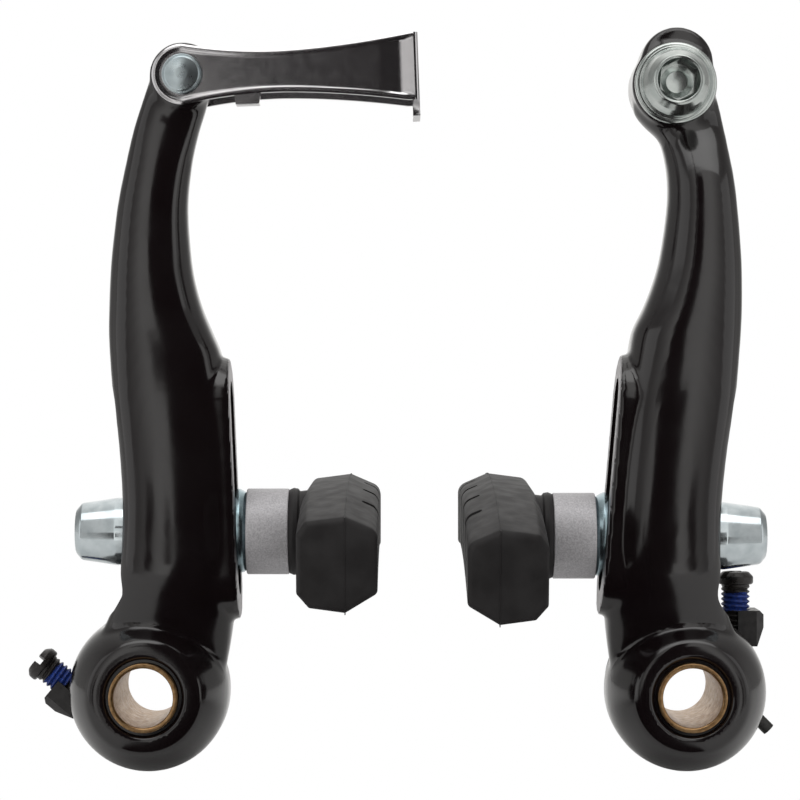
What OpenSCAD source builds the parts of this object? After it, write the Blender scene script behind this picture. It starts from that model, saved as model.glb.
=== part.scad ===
// Pair of short linear pull brake arms, seen from the front of the bicycle.
// X runs from the left boss to the right boss, Y runs back into the frame, Z is up.
// The origin is the middle of the left pivot bore.

/* [Layout] */
// Distance between the two pivot axes
boss_spacing = 74.3; // [70:0.1:90]
// Lean of the left arm towards the rim, in degrees
left_lean = 3.1; // [0:0.1:4]
// Lean of the right arm towards the rim, in degrees
right_lean = 0.6; // [0:0.1:4]
// Turn of the loose left spring collar about its bush, in degrees
left_collar_turn = 50; // [0:1:60]
// Turn of the loose right spring collar about its bush, in degrees
right_collar_turn = 0; // [0:1:60]

/* [Pivot] */
// Bore of the pivot bush, a running fit on an 8 mm boss
bush_bore = 8.05; // [8.02:0.01:8.2]
// Outer diameter of the pivot bush
bush_od = 9.4; // [9.2:0.1:9.8]
// Length of the pivot bush
bush_len = 21.5; // [20:0.1:24]
// Radial running clearance of the arm on its bush
arm_clearance = 0.05; // [0.02:0.01:0.1]
// Outer diameter of the round boss at the foot of an arm
foot_od = 22.2; // [21.5:0.1:24]
// Diameter of the flat ring on the front of the boss
foot_flat_od = 15; // [14:0.1:17]
// Depth of the boss at the foot of an arm, front to back
foot_depth = 14.1; // [13:0.1:15]
// Depth over which the boss narrows to the flat ring
foot_curve_depth = 10; // [7:0.5:12]

/* [Arm] */
// Height of the link rivet above the pivot axis
arm_len = 85; // [84:0.1:87]
// How much lower than the rivet the cable anchor sits
anchor_drop = 1.05; // [0:0.05:2]
// Distance of the rivet from the left arm's centre line
rivet_x = 0.3; // [0:0.1:0.8]
// Distance of the anchor from the right arm's centre line
anchor_x = 0.7; // [0:0.1:1]
// Diameter of the left head, round the link rivet
link_head_od = 9.2; // [8.8:0.1:10]
// Thickness of the left head between the plates of the link
link_head_t = 7.3; // [6.5:0.1:8]
// Diameter of the right head, round the cable anchor
anchor_head_od = 11.8; // [11.4:0.1:13]
// Depth of the right head behind the cable washer
anchor_head_t = 8.8; // [7:0.1:10]
// How much the front of an arm is crowned, as a share of its depth
crown = 0.15; // [0:0.01:0.2]
// Points round the arm's cross section
section_points = 36; // [20:4:40]

/* [Pad slot] */
// Height of the raised track for the pad washers
track_h = 36; // [34:0.5:38]
// Width of the raised track
track_w = 13; // [12.6:0.1:14]
// Height of the middle of the track above the pivot
track_z = 28.8; // [28:0.1:30]
// Distance of the track's face from the arm's centre line at the track's middle
track_x = 10.55; // [10:0.05:11]
// Tilt of the track's face against the arm, in degrees
track_tilt = 5.6; // [4.5:0.1:6.5]
// Width of the slot for the pad stud
slot_w = 6.4; // [6.2:0.1:7]
// Thickness of the slotted web between the track and the nut pocket
web_t = 8.8; // [8:0.1:9.2]
// Gap all round between the outer washers and their pocket
pocket_gap = 0.3; // [0.2:0.05:0.5]

/* [Pad hardware] */
// Height of the left pad stud above the pivot
left_post_z = 22.2; // [20:0.1:26]
// Height of the right pad stud above the pivot
right_post_z = 21.6; // [20:0.1:26]
// Diameter of the pad stud
stud_d = 6; // [5.8:0.1:6.1]
// Diameter of the dome washer under the spacer cup
washer_od = 11.5; // [10.8:0.1:11.6]
// Diameter of the two washers in the nut pocket
outer_washer_od = 10.6; // [10:0.1:10.9]
// Thickness of a dome washer at its rim
washer_rim = 0.6; // [0.5:0.1:1]
// Ball diameter of the dome washers
ball_d = 13; // [12.6:0.1:14]
// Bore of a dome washer, wide enough to let it tilt on the stud
washer_bore = 8; // [7.4:0.1:8.4]
// Diameter of the spacer cup
spacer_od = 11.8; // [11.2:0.1:12]
// Length of the spacer cup
spacer_len = 5.8; // [4:0.1:8]
// Length of the outer cup washer
cup_len = 2.9; // [2.4:0.1:3.2]
// Length of the pad nut
nut_len = 9.2; // [9:0.1:12]
// Diameter of the pad nut at its foot
nut_foot_d = 9.3; // [8.8:0.1:10]
// Diameter of the pad nut at its tip
nut_tip_d = 7.6; // [7:0.1:8.4]
// Width of the hexagon sockets, across flats
hex_af = 5; // [4:0.1:5]

/* [Brake pad] */
// Length of a pad
pad_len = 60; // [50:1:72]
// Thickness of a pad from its back to the rim face
pad_t = 10.4; // [9.5:0.1:12]
// Height of a pad at its parting line
pad_h = 12.7; // [11.5:0.1:14]
// Height of the rim face
rim_face_h = 8.3; // [7:0.1:9]
// Bend radius of a pad along the rim
pad_bend = 200; // [150:5:320]
// Height of a pad's middle above its stud
pad_rise = 0.9; // [0:0.1:2]
// Nose down turn of the left pad, in degrees
left_nose = 3.2; // [0:0.1:8]
// Nose down turn of the right pad, in degrees
right_nose = 5.2; // [0:0.1:8]
// Diameter of the rubber collar on the back of a pad
collar_od = 12; // [11:0.1:12.4]
// Length of the rubber collar
collar_len = 1.95; // [1:0.05:3]
// Number of water grooves across the rim face
groove_count = 4; // [2:1:6]
// Distance between the water grooves
groove_pitch = 11; // [9:0.5:14]
// Width of a water groove
groove_w = 1.4; // [1:0.1:2]
// Depth of a water groove
groove_depth = 2.2; // [1:0.1:3]

/* [Link] */
// Length of the link from the rivet to the face of its end wall
link_len = 32.4; // [30:0.1:36]
// Thickness of the link's sheet
sheet_t = 1; // [0.8:0.1:1.2]
// Radius of the link's eyes
eye_r = 4.15; // [3.9:0.05:4.5]
// Height of the link at its waist
waist_h = 5.8; // [4.8:0.1:6]
// Height of the front plate where it meets the end wall
flare_h = 9.2; // [8:0.1:9.5]
// Tilt of the link above the horizontal, in degrees
link_rise = 2.1; // [0:0.1:6]
// Diameter of the hole that seats the noodle
noodle_d = 5.2; // [4.8:0.1:5.4]
// Width of the slot that lets the cable out of the end wall
cable_slot_w = 2.2; // [1.8:0.1:2.6]
// Diameter of the rivet's shank
rivet_d = 4; // [3.6:0.1:4.4]
// Diameter of the rivet's head
rivet_head_d = 5.6; // [5.2:0.1:6]

/* [Cable anchor] */
// Diameter of the anchor washer
anchor_washer_od = 11.3; // [10.8:0.1:11.6]
// Thickness of the anchor washer
anchor_washer_t = 1.5; // [1.2:0.1:2]
// Diameter of the anchor bolt's head
bolt_head_d = 10.2; // [9.6:0.1:10.6]
// Height of the anchor bolt's head
bolt_head_h = 4.2; // [3.6:0.1:5]
// Diameter of the anchor bolt's thread
bolt_d = 6; // [5:0.1:6.2]

/* [Return spring] */
// Diameter of the spring wire
wire_d = 1.8; // [1.6:0.1:1.8]
// Diameter of the coil at the middle of the wire
coil_d = 14.6; // [14.4:0.1:14.8]
// Height above the pivot at which the spring leg ends
leg_top = 41; // [40:0.5:44]
// Height of the peg that the spring leg pushes
peg_z = 37; // [34:0.5:38]
// Diameter of the spring peg
peg_d = 2.4; // [2:0.1:2.6]
// Outer diameter of the spring collar
collar_disc_od = 20.8; // [20.6:0.1:21.4]
// Length of the left spring's short end, outside its bend
left_stub = 0.3; // [0.1:0.1:4]
// Length of the right spring's short end, outside its bend
right_stub = 4; // [0.1:0.1:5]
// Diameter of the pin that enters the frame
anchor_pin_d = 2.4; // [2.2:0.1:2.6]
// Length of the anchor pin behind the collar
anchor_pin_len = 3.4; // [3:0.1:4]
// Distance of the anchor pin from the pivot axis
anchor_pin_r = 9; // [8.8:0.1:9.1]
// Diameter of the tension screw's thread
screw_d = 4; // [3.8:0.1:4]
// Diameter of the tension screw's head
screw_head_d = 5; // [4.6:0.1:5.4]
// Length of thread between the left screw's head and its lug
left_screw_gap = 2.6; // [2.4:0.1:4.6]
// Length of thread between the right screw's head and its lug
right_screw_gap = 3.6; // [2.4:0.1:4.6]

/* [Hidden] */
$fn = 64;

// Gap between faces that touch, radial gap of pressed pieces and of threads
seat = 0.03;
press = 0.01;
thread_gap = 0.03;

// Depths, from the middle of the bush
bush_front = -bush_len / 2;
foot_front = bush_front + 0.3;
foot_back = foot_front + foot_depth;
post_y = -3;
head_y = -1.5;
link_head_front = head_y - link_head_t / 2;
link_head_back = link_head_front + link_head_t;
anchor_face_y = head_y - 0.8;
anchor_z = arm_len - anchor_drop;
anchor_head_back = anchor_face_y + anchor_head_t;
foot_r = foot_od / 2;
foot_narrowing = foot_r - foot_flat_od / 2;
foot_curve_r = (pow(foot_narrowing, 2) + pow(foot_curve_depth, 2)) / (2 * foot_narrowing);
bore_mouth = 0.5;

// The beam between the foot and the head, drawn for an arm of this length: height, outer edge,
// inner edge, front, back and squareness of the section
drawn_len = 85;
link_front_in = link_head_front + 0.2;
link_back_in = link_head_back - 0.2;
beam_low = [
    [-3, -8.4, 9.4, -4.4, 2.6, 2.6],
    [6, -7.4, 10.8, -6.4, 2.9, 2.8],
    [12, -5.2, 11.3, -8.7, 3.3, 3.4],
    [16, -4.7, 11, -10.2, 3.6, 4.2],
    [20, -4.4, 10.6, -10.8, 4, 4.6],
    [26, -4.6, 10.1, -11, 4.9, 4.6],
    [33, -5.4, 9.4, -11, 5.2, 4.6],
    [40, -6.6, 8.7, -10.7, 5, 4.2]
];
link_top = [
    [47, -7.6, 7.6, -10, 4.6, 3.4],
    [50, -7.9, 6.2, -9.6, 4.4, 3.1],
    [53, -8.05, 4.75, -9.1, 4.1, 2.8],
    [56.5, -8.15, 3.5, -8.5, 3.8, 2.65],
    [60, -8.15, 2.7, -7.9, 3.5, 2.5],
    [67, -7.75, 1.85, -6.9, 3.1, 2.5],
    [73, -6.95, 2.05, -5.9, 2.6, 2.5],
    [77.5, -6.2, 2.75, -5, 2, 2.7],
    [81, -5.3, 3.6, link_front_in, link_back_in, 2.8],
    [85, -4.2, 4.2, link_front_in, link_back_in, 3]
];
anchor_front_in = anchor_face_y + 0.2;
anchor_top = [
    [47, -7.4, 7.6, -10, 4.6, 3.4],
    [50, -7.7, 7, -9.6, 4.4, 3.1],
    [53, -7.9, 5.5, -9.1, 4.1, 2.8],
    [56.5, -8, 4.1, -8.5, 3.8, 2.65],
    [60, -8, 3.1, -7.8, 3.5, 2.5],
    [67, -7.65, 1.95, -6.4, 4, 2.5],
    [71, -7.3, 1.8, -5.4, 4.6, 2.6],
    [74.5, -6.8, 2.2, -3.9, 5, 2.7],
    [76.7, -6.5, 2.9, -2.7, 5.3, 2.8],
    [78.4, -6.2, 4.6, anchor_front_in, 5.6, 2.8],
    [80.4, -5.8, 6.1, anchor_front_in, 5.8, 2.8],
    [83.5, -5, 6.3, anchor_front_in, anchor_head_back - 0.4, 3]
];
// The outer side of a section is squarer than the inner side
outer_square = 1.7;

// Pad slot, worked out from the raised track
track_t = 5;
slot_margin = (track_w - slot_w) / 2;
slot_h = track_h - 2 * slot_margin;
pocket_w = outer_washer_od + 2 * pocket_gap;
pocket_h = slot_h - slot_w + pocket_w;

// Ball seats of the pad washers
ball_r = ball_d / 2;
cup_lip = 0.4;
function ball_depth(od) = sqrt(ball_r * ball_r - od * od / 4) - washer_rim;
function cup_rim_h(od) = sqrt(ball_r * ball_r - pow(od / 2 - cup_lip, 2)) - ball_depth(od);
ball_gap = 0.05;
stud_gap = 0.1;

// Spring collar
collar_front = foot_back + 0.35;
collar_back = bush_len / 2 - 0.45;
collar_floor = 1.2;
pin_root_r = anchor_pin_d / 2 + 0.35;
pin_shoulder = 0.3;
coil_r = coil_d / 2;
wire_r = wire_d / 2;
groove_gap = 0.3;
groove_in = coil_r - wire_r - groove_gap;
groove_out = coil_r + wire_r + groove_gap;
coil_y0 = collar_front + wire_r + 0.1;
coil_y1 = collar_back - collar_floor - wire_r - 0.1;
leg_y = coil_y1;
coil_y = (coil_y0 + coil_y1) / 2;
screw_len = 7.3;
lug_x = 7.8;
lug_out = 11.6;
lug_low = 5.7;
lug_high = 10.7;
lug_side = 2.4;
lug_bevel = 1.1;
stub_angle = -150;
stub_sweep = 105;
stub_bend = 2;

// Sheet link
plate_gap = 0.1;
link_y0 = link_head_front - plate_gap - sheet_t;
link_y1 = link_head_back + plate_gap;
fold_r = 1.6;

function mix(a, b, t) = a + (b - a) * t;

// Distance from the middle of a unit section to its edge, in one direction
function reach(a, square) = pow(pow(abs(cos(a)), square) + pow(abs(sin(a)), square), -1 / square);

// Smooth curve through one column of a station table
function slope(s, i, c) =
    let (a = max(i - 1, 0), b = min(i + 1, len(s) - 1))
    (s[b][c] - s[a][c]) / (s[b][0] - s[a][0]);
function curve(s, i, c, t) =
    let (h = s[i + 1][0] - s[i][0], t2 = t * t, t3 = t2 * t)
    (2 * t3 - 3 * t2 + 1) * s[i][c] + (t3 - 2 * t2 + t) * h * slope(s, i, c)
    + (3 * t2 - 2 * t3) * s[i + 1][c] + (t3 - t2) * h * slope(s, i + 1, c);
function station(s, i, t) = [for (c = [0:5]) c == 0 ? mix(s[i][0], s[i + 1][0], t) : curve(s, i, c, t)];
function ring(r, n) = [
    for (j = [0:n - 1])
        let (
            a = 360 * j / n,
            to_edge = reach(a, cos(a) < 0 ? outer_square * r[5] : r[5]),
            across = to_edge * cos(a),
            deep = to_edge * sin(a) * (sin(a) < 0 ? 1 - crown * across * across : 1)
        )
        [
            (r[1] + r[2]) / 2 + (r[2] - r[1]) / 2 * across,
            (r[3] + r[4]) / 2 + (r[4] - r[3]) / 2 * deep,
            r[0] * arm_len / drawn_len
        ]
];

// Skin over a stack of rings that all have n points, closed at both ends
module skin(rings) {
    n = len(rings[0]);
    last = len(rings) - 1;
    sides = [
        for (i = [0:last - 1]) for (j = [0:n - 1])
            let (a = i * n + j, b = i * n + (j + 1) % n)
            each [[a, a + n, b], [b, a + n, b + n]]
    ];
    low = [for (j = [0:n - 1]) j];
    high = [for (j = [n - 1:-1:0]) last * n + j];
    polyhedron(points = [for (r = rings) each r], faces = concat(sides, [low, high]));
}

module beam(stations) {
    steps = 2;
    rings = [
        for (i = [0:len(stations) - 2]) for (k = [0:steps - 1])
            ring(station(stations, i, k / steps), section_points)
    ];
    skin(concat(rings, [ring(stations[len(stations) - 1], section_points)]));
}

// Tube of round wire along a path that never runs along Y
function unit(v) = v / norm(v);
function tangent(path, i) = unit(path[min(i + 1, len(path) - 1)] - path[max(i - 1, 0)]);
function wire_ring(path, i, r, n) =
    let (t = tangent(path, i), u = unit(cross(t, [0, 1, 0])), v = cross(t, u))
    [for (j = [0:n - 1]) path[i] + r * cos(360 * j / n) * u + r * sin(360 * j / n) * v];
module wire(path, r, n = 8) {
    skin([for (i = [0:len(path) - 1]) wire_ring(path, i, r, n)]);
}

// A round rod or bore along Y, between two depths
module rod_y(r, y0, y1) translate([0, y0, 0]) rotate([-90, 0, 0]) cylinder(r = r, h = y1 - y0);
// A round rod or bore along X, between two places
module rod_x(r, x0, x1) translate([x0, 0, 0]) rotate([0, 90, 0]) cylinder(r = r, h = x1 - x0);
// An upright oblong bar along X
module oblong_x(h, w, x0, x1) {
    for (side = [-1, 1]) translate([0, 0, side * (h - w) / 2]) rod_x(w / 2, x0, x1);
    translate([x0, -w / 2, -(h - w) / 2]) cube([x1 - x0, w, h - w]);
}

// Frames of reference: each side, and the arm on that side
module left_side() children();
module right_side() translate([boss_spacing, 0, 0]) mirror([1, 0, 0]) children();
module left_lever() rotate([0, left_lean, 0]) children();
module right_lever() right_side() rotate([0, right_lean, 0]) children();

// Place of the track's face at a post, seen from the pivot with the arm leaning
function track_at(lean, z) =
    let (
        x = track_x * cos(lean) + track_z * sin(lean),
        h = track_z * cos(lean) - track_x * sin(lean)
    )
    x - tan(track_tilt - lean) * (z - h);
function lean_in(lean) = track_tilt - lean;
function inner_ball(lean, z) =
    track_at(lean, z) + (seat - ball_depth(washer_od)) / cos(lean_in(lean));
function outer_ball(lean, z) =
    track_at(lean, z) + (ball_depth(outer_washer_od) - web_t - seat) / cos(lean_in(lean));
function spacer_start(lean, z) =
    inner_ball(lean, z) + ball_depth(washer_od) + cup_rim_h(washer_od) + ball_gap;
function cup_start(lean, z) =
    outer_ball(lean, z) - ball_depth(outer_washer_od) - cup_rim_h(outer_washer_od) - ball_gap;
function pad_start(lean, z) = spacer_start(lean, z) + spacer_len + seat;
function nut_start(lean, z) = cup_start(lean, z) - cup_len - seat;

module track_frame() translate([track_x, post_y, track_z]) rotate([0, -track_tilt, 0]) children();

module foot() {
    rotate([90, 0, 0]) translate([0, 0, -foot_back]) rotate_extrude() {
        square([foot_r, foot_depth - foot_curve_depth]);
        translate([0, foot_depth - foot_curve_depth]) intersection() {
            square([foot_r, foot_curve_depth]);
            translate([foot_r - foot_curve_r, 0]) circle(r = foot_curve_r);
        }
    }
}

module arm_blank(stations) {
    beam(stations);
    foot();
    track_frame() oblong_x(track_h, track_w, -track_t, 0);
}

module arm_cuts() {
    rod_y(bush_od / 2 + arm_clearance, foot_front - 1, foot_back + 1);
    rod_y(bush_od / 2 + bore_mouth, foot_front - 1, foot_front + bore_mouth);
    track_frame() {
        oblong_x(slot_h, slot_w, -web_t - 1, 1);
        oblong_x(pocket_h, pocket_w, -web_t - 2 * foot_r, -web_t);
    }
    peg_place() rod_y(peg_d / 2 + press, peg_root, peg_end);
}

// The head of the right arm reaches up past the cable anchor
lobe_x = -0.4;
lobe_rise = 3;
lobe_r = anchor_head_od / 2 - 0.85;
module rivet_place() translate([rivet_x, 0, arm_len]) children();
module anchor_place() translate([anchor_x, 0, anchor_z]) children();

module left_arm() color([0.06, 0.055, 0.06]) left_lever() difference() {
    union() {
        arm_blank(concat(beam_low, link_top));
        rivet_place() rod_y(link_head_od / 2, link_head_front, link_head_back);
    }
    arm_cuts();
    rivet_place() rod_y(rivet_d / 2 + press, link_head_front - 1, link_head_back + 1);
}

module right_arm() color([0.06, 0.055, 0.06]) right_lever() difference() {
    union() {
        arm_blank(concat(beam_low, anchor_top));
        anchor_place() rod_y(anchor_head_od / 2, anchor_face_y, anchor_head_back);
        anchor_place() translate([lobe_x, 0, lobe_rise])
            rod_y(lobe_r, anchor_face_y + 0.5, anchor_head_back - 0.5);
    }
    arm_cuts();
    anchor_place() rod_y(bolt_d / 2 + arm_clearance, anchor_face_y - 1, anchor_head_back + 1);
}

// Pivot
module pivot_bush() color([0.72, 0.52, 0.3]) difference() {
    rod_y(bush_od / 2, bush_front, bush_len / 2);
    rod_y(bush_bore / 2, bush_front - 1, bush_len / 2 + 1);
}

module collar_frame(turn) rotate([0, -turn, 0]) children();

module spring_collar(turn) color([0.08, 0.08, 0.08]) collar_frame(turn) difference() {
    union() {
        rod_y(collar_disc_od / 2, collar_front, collar_back);
        screw_lug();
    }
    rod_y(bush_od / 2 + press, collar_front - 1, collar_back + 1);
    difference() {
        rod_y(groove_out, collar_front - 1, collar_back - collar_floor);
        rod_y(groove_in, collar_front - 2, collar_back);
    }
    translate([-lug_x, coil_y, 0]) cylinder(d = screw_d + 2 * thread_gap, h = 20);
    rotate([0, turn, 0]) leg_window();
    stub_window();
    rotate([0, turn, 0]) pin_place()
        rod_y(pin_root_r + press, collar_back - collar_floor - 1, collar_back + 1);
}

// Lug for the tension screw: seen from the front, and seen from above
module screw_lug() intersection() {
    rotate([90, 0, 0]) translate([0, 0, -collar_back]) linear_extrude(collar_back - collar_front) polygon([
        [-groove_out + 0.6, lug_high], [0.6 - lug_out, lug_high], [-lug_out, lug_high - 0.6],
        [-lug_out, lug_high - lug_side], [1 - lug_out, lug_low], [-groove_out + 0.6, lug_low]
    ]);
    linear_extrude(2 * lug_high) polygon([
        [0, collar_front], [lug_bevel - lug_out, collar_front], [-lug_out, collar_front + lug_bevel],
        [-lug_out, collar_back], [0, collar_back]
    ]);
}

// Window for the long leg on the inner side, and slot for the short end
module leg_window() difference() {
    translate([-1.5, coil_y0 - 2, 0.5]) cube([14, coil_y1 - coil_y0 + 2 + wire_r + 0.1, 16]);
    rod_y(groove_in, 0, collar_back);
}
module stub_window() rotate([0, -stub_angle, 0])
    translate([groove_in, collar_front - 1, -3.6]) cube([8, coil_y0 - collar_front + 2.1, 4.8]);

module pin_place() rotate([0, 160, 0]) translate([anchor_pin_r, 0, 0]) children();
module anchor_pin() color([0.7, 0.7, 0.72]) pin_place() {
    rod_y(pin_root_r, collar_back - collar_floor, collar_back + pin_shoulder);
    rod_y(anchor_pin_d / 2, collar_back, collar_back + pin_shoulder + anchor_pin_len);
}

module tension_screw(turn, gap) color([0.1, 0.1, 0.12]) collar_frame(turn)
    translate([-lug_x, coil_y, lug_high + gap]) difference() {
        union() {
            translate([0, 0, -screw_len]) cylinder(d = screw_d, h = screw_len + 0.5);
            cylinder(d = screw_head_d, h = 1.2);
            translate([0, 0, 1.2]) cylinder(d1 = screw_head_d, d2 = screw_head_d - 1.4, h = 0.6);
        }
        translate([-3, -0.5, 0.9]) cube([6, 1, 2]);
    }

// Return spring: short end, hook, coil, then the long leg up behind the arm
coil_steps = 36;
function at_angle(r, a) = [r * cos(a), r * sin(a)];
function lay(p, y) = [p[0], y, p[1]];
function stub_path(a, len) =
    let (
        centre = at_angle(coil_r + stub_bend, a),
        bend = [for (k = [0:5]) centre + at_angle(stub_bend, a + 180 + stub_sweep * (1 - k / 5))],
        out = bend[0] - len * at_angle(1, a + 90 + stub_sweep)
    )
    concat([out], bend);
function spring_path(turn, lean, stub) =
    let (
        start = stub_angle + turn,
        hook = [for (p = stub_path(start, stub)) lay(p, coil_y0)],
        turns = [for (k = [1:coil_steps]) let (t = k / coil_steps)
            lay(at_angle(coil_r, mix(start, 360, t)), mix(coil_y0, coil_y1, t))],
        leg = [for (h = [4:4:leg_top]) [coil_r + (leg_x(lean) - coil_r) * h / peg_z, leg_y, h]]
    )
    concat(hook, turns, leg);
function leg_x(lean) = (peg_x + peg_d / 2 + wire_r + 2 * seat) * cos(lean) + peg_z * sin(lean);

module return_spring(turn, lean, stub) color([0.2, 0.2, 0.2])
    wire(spring_path(turn, lean, stub), wire_r);

peg_x = 4.8;
peg_root = 1.9;
peg_end = leg_y + wire_r + 0.6;
module peg_place() translate([peg_x, 0, peg_z]) children();
module spring_peg() color([0.7, 0.7, 0.72]) peg_place() rod_y(peg_d / 2, peg_root, peg_end);

// Pad hardware, each on its own post
module on_post(z) translate([0, post_y, z]) children();

// A turned piece along X, from a profile of radius and place
module turned_x() rotate([0, 90, 0]) rotate_extrude() children();

module dome_washer(od) turned_x() intersection() {
    circle(r = ball_r);
    translate([washer_bore / 2, ball_depth(od)]) square([(od - washer_bore) / 2, ball_r]);
}

// Cup with a ball seat at its start, for a dome washer
module ball_cup(od, dome_od, length) turned_x() difference() {
    translate([stud_d / 2 + stud_gap, 0]) square([(od - stud_d) / 2 - stud_gap, length]);
    intersection() {
        translate([0, -ball_depth(dome_od) - cup_rim_h(dome_od) - ball_gap])
            circle(r = ball_r + ball_gap);
        translate([0, -1]) square([dome_od / 2 - cup_lip, ball_r]);
    }
}

module inner_dome_washer(lean, z) color([0.62, 0.72, 0.76]) on_post(z)
    translate([inner_ball(lean, z), 0, 0]) rotate([0, -lean_in(lean), 0]) dome_washer(washer_od);

module outer_dome_washer(lean, z) color([0.62, 0.72, 0.76]) on_post(z)
    translate([outer_ball(lean, z), 0, 0]) rotate([0, 180 - lean_in(lean), 0])
        dome_washer(outer_washer_od);

module spacer_cup(lean, z) color([0.66, 0.66, 0.68]) on_post(z)
    translate([spacer_start(lean, z), 0, 0]) ball_cup(spacer_od, washer_od, spacer_len);

module outer_cup_washer(lean, z) color([0.62, 0.72, 0.76]) on_post(z)
    translate([cup_start(lean, z), 0, 0]) rotate([0, 180, 0])
        ball_cup(outer_washer_od, outer_washer_od, cup_len);

socket_depth = 4.5;
module pad_nut(lean, z) color([0.7, 0.76, 0.78]) on_post(z) translate([nut_start(lean, z), 0, 0])
    rotate([0, -90, 0]) difference() {
        rotate_extrude() polygon([
            [0, 0], [nut_foot_d / 2 - 0.3, 0], [nut_foot_d / 2, 0.3], [nut_foot_d / 2, 2.4],
            [nut_tip_d / 2, nut_len - 0.7], [nut_tip_d / 2 - 0.7, nut_len], [0, nut_len]
        ]);
        translate([0, 0, -1]) cylinder(d = stud_d + 2 * thread_gap, h = nut_len);
        translate([0, 0, nut_len - socket_depth]) cylinder(d = hex_af / cos(30), h = nut_len, $fn = 6);
    }

module pad_stud(lean, z) color([0.7, 0.76, 0.78]) on_post(z) {
    rod_x(stud_d / 2, nut_start(lean, z) - nut_len + socket_depth + 0.6,
        pad_start(lean, z) + collar_len + pad_t / 2);
}

// Section of a pad: distance from the back, height
pad_section = [
    [0, -0.3 * pad_h], [1.6, 0.65 - pad_h / 2], [0.6 * pad_t, -pad_h / 2],
    [pad_t, -0.4 - rim_face_h / 2 + 0.8], [pad_t, 0.4 + rim_face_h / 2],
    [0.6 * pad_t, pad_h / 2], [1.2, pad_h / 2 - 0.65], [0, 0.31 * pad_h]
];
pad_half_turn = asin(pad_len / 2 / pad_bend);
groove_floor = pad_t - groove_depth;

module bent_bar() {
    translate([0, 0, pad_rise - pad_bend]) rotate([0, 90, 0]) rotate([0, 0, 180 - pad_half_turn])
        rotate_extrude(angle = 2 * pad_half_turn, $fn = 360)
            polygon([for (p = pad_section) [pad_bend + p[1], p[0]]]);
}

module brake_pad(lean, z, nose) color([0.12, 0.12, 0.12]) on_post(z)
    translate([pad_start(lean, z), 0, 0]) rotate([nose, 0, 0]) difference() {
        union() {
            rod_x(collar_od / 2, 0, collar_len + 1);
            translate([collar_len, 0, 0]) bent_bar();
        }
        rod_x(stud_d / 2 + press, -1, collar_len + pad_t / 2 + 0.5);
        for (k = [0:groove_count - 1]) translate([
            collar_len + groove_floor, (k - (groove_count - 1) / 2) * groove_pitch - groove_w / 2, -pad_h
        ]) cube([pad_t, groove_w, 2 * pad_h]);
    }

// Link, seen from its rivet with the centre line along X
flare_x = link_len - fold_r;
waist_x = 12.7;
function plate_half(x) =
    x < waist_x ? mix(waist_h / 2, eye_r, pow(1 - x / waist_x, 2))
    : mix(waist_h / 2, flare_h / 2, pow((x - waist_x) / (flare_x - waist_x), 1.7));
eye_points = [for (a = [90:15:270]) [eye_r * cos(a), eye_r * sin(a)]];
edge_x = [for (k = [1:12]) flare_x * k / 12];
plate_outline = concat(
    eye_points,
    [for (x = edge_x) [x, -plate_half(x)]],
    [for (k = [11:-1:0]) [edge_x[k], plate_half(edge_x[k])]]
);
wall_drop = 2.2;

module link_plate(y) translate([0, y + sheet_t, 0]) rotate([90, 0, 0])
    linear_extrude(sheet_t) polygon(plate_outline);

module link_end() {
    low = -flare_h / 2;
    // Folds at the front and the back of the end wall
    translate([flare_x, link_y0 + fold_r, low]) rotate([0, 0, -90]) fold(flare_h);
    translate([flare_x, link_y1 + sheet_t - fold_r, low]) fold(flare_h);
    translate([link_len - sheet_t, link_y0 + fold_r, low])
        cube([sheet_t, link_y1 + sheet_t - link_y0 - 2 * fold_r, flare_h]);
    translate([link_len - sheet_t, link_y0 + fold_r, low - wall_drop])
        cube([sheet_t, link_y1 + sheet_t - link_y0 - 2 * fold_r, wall_drop + 1]);
}
module fold(h) rotate_extrude(angle = 90) translate([fold_r - sheet_t, 0]) square([sheet_t, h]);

module noodle_link() color([0.62, 0.62, 0.62]) left_lever() rivet_place()
    rotate([0, -left_lean - link_rise, 0]) difference() {
        union() {
            link_plate(link_y0);
            link_plate(link_y1);
            link_end();
            // Stop tab under the front plate, bent back towards the arm
            translate([7.2, link_y0, -4.4]) cube([3.2, sheet_t, 2.6]);
            translate([7.2, link_y0, -4.4]) cube([3.2, 3.4, sheet_t]);
        }
        rod_y(rivet_d / 2 + arm_clearance, link_y0 - 1, link_y1 + sheet_t + 1);
        translate([0, head_y, 0]) rod_x(noodle_d / 2, link_len - 2 * sheet_t, link_len + 1);
        translate([link_len - 2 * sheet_t, head_y - cable_slot_w / 2, 0])
            cube([3 * sheet_t, cable_slot_w, flare_h]);
    }

rivet_head_h = 1.1;
rivet_tail_h = 0.8;
rivet_dome_r = 4.6;
module link_rivet() color([0.7, 0.74, 0.76]) left_lever() rivet_place() {
    rod_y(rivet_d / 2, link_y0 - rivet_head_h / 2, link_y1 + sheet_t + rivet_tail_h / 2);
    intersection() {
        rod_y(rivet_head_d / 2, link_y0 - seat - rivet_head_h, link_y0 - seat);
        translate([0, link_y0 - seat - rivet_head_h + rivet_dome_r, 0]) sphere(r = rivet_dome_r);
    }
    rod_y(rivet_head_d / 2, link_y1 + sheet_t + seat, link_y1 + sheet_t + rivet_tail_h);
}

// Cable anchor on the right arm
module cable_anchor_washer() color([0.7, 0.74, 0.76]) right_lever() anchor_place() difference() {
    rod_y(anchor_washer_od / 2, anchor_face_y - seat - anchor_washer_t, anchor_face_y - seat);
    rod_y(bolt_d / 2 + stud_gap, anchor_face_y - 2 * anchor_washer_t, anchor_face_y + 1);
}

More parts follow.
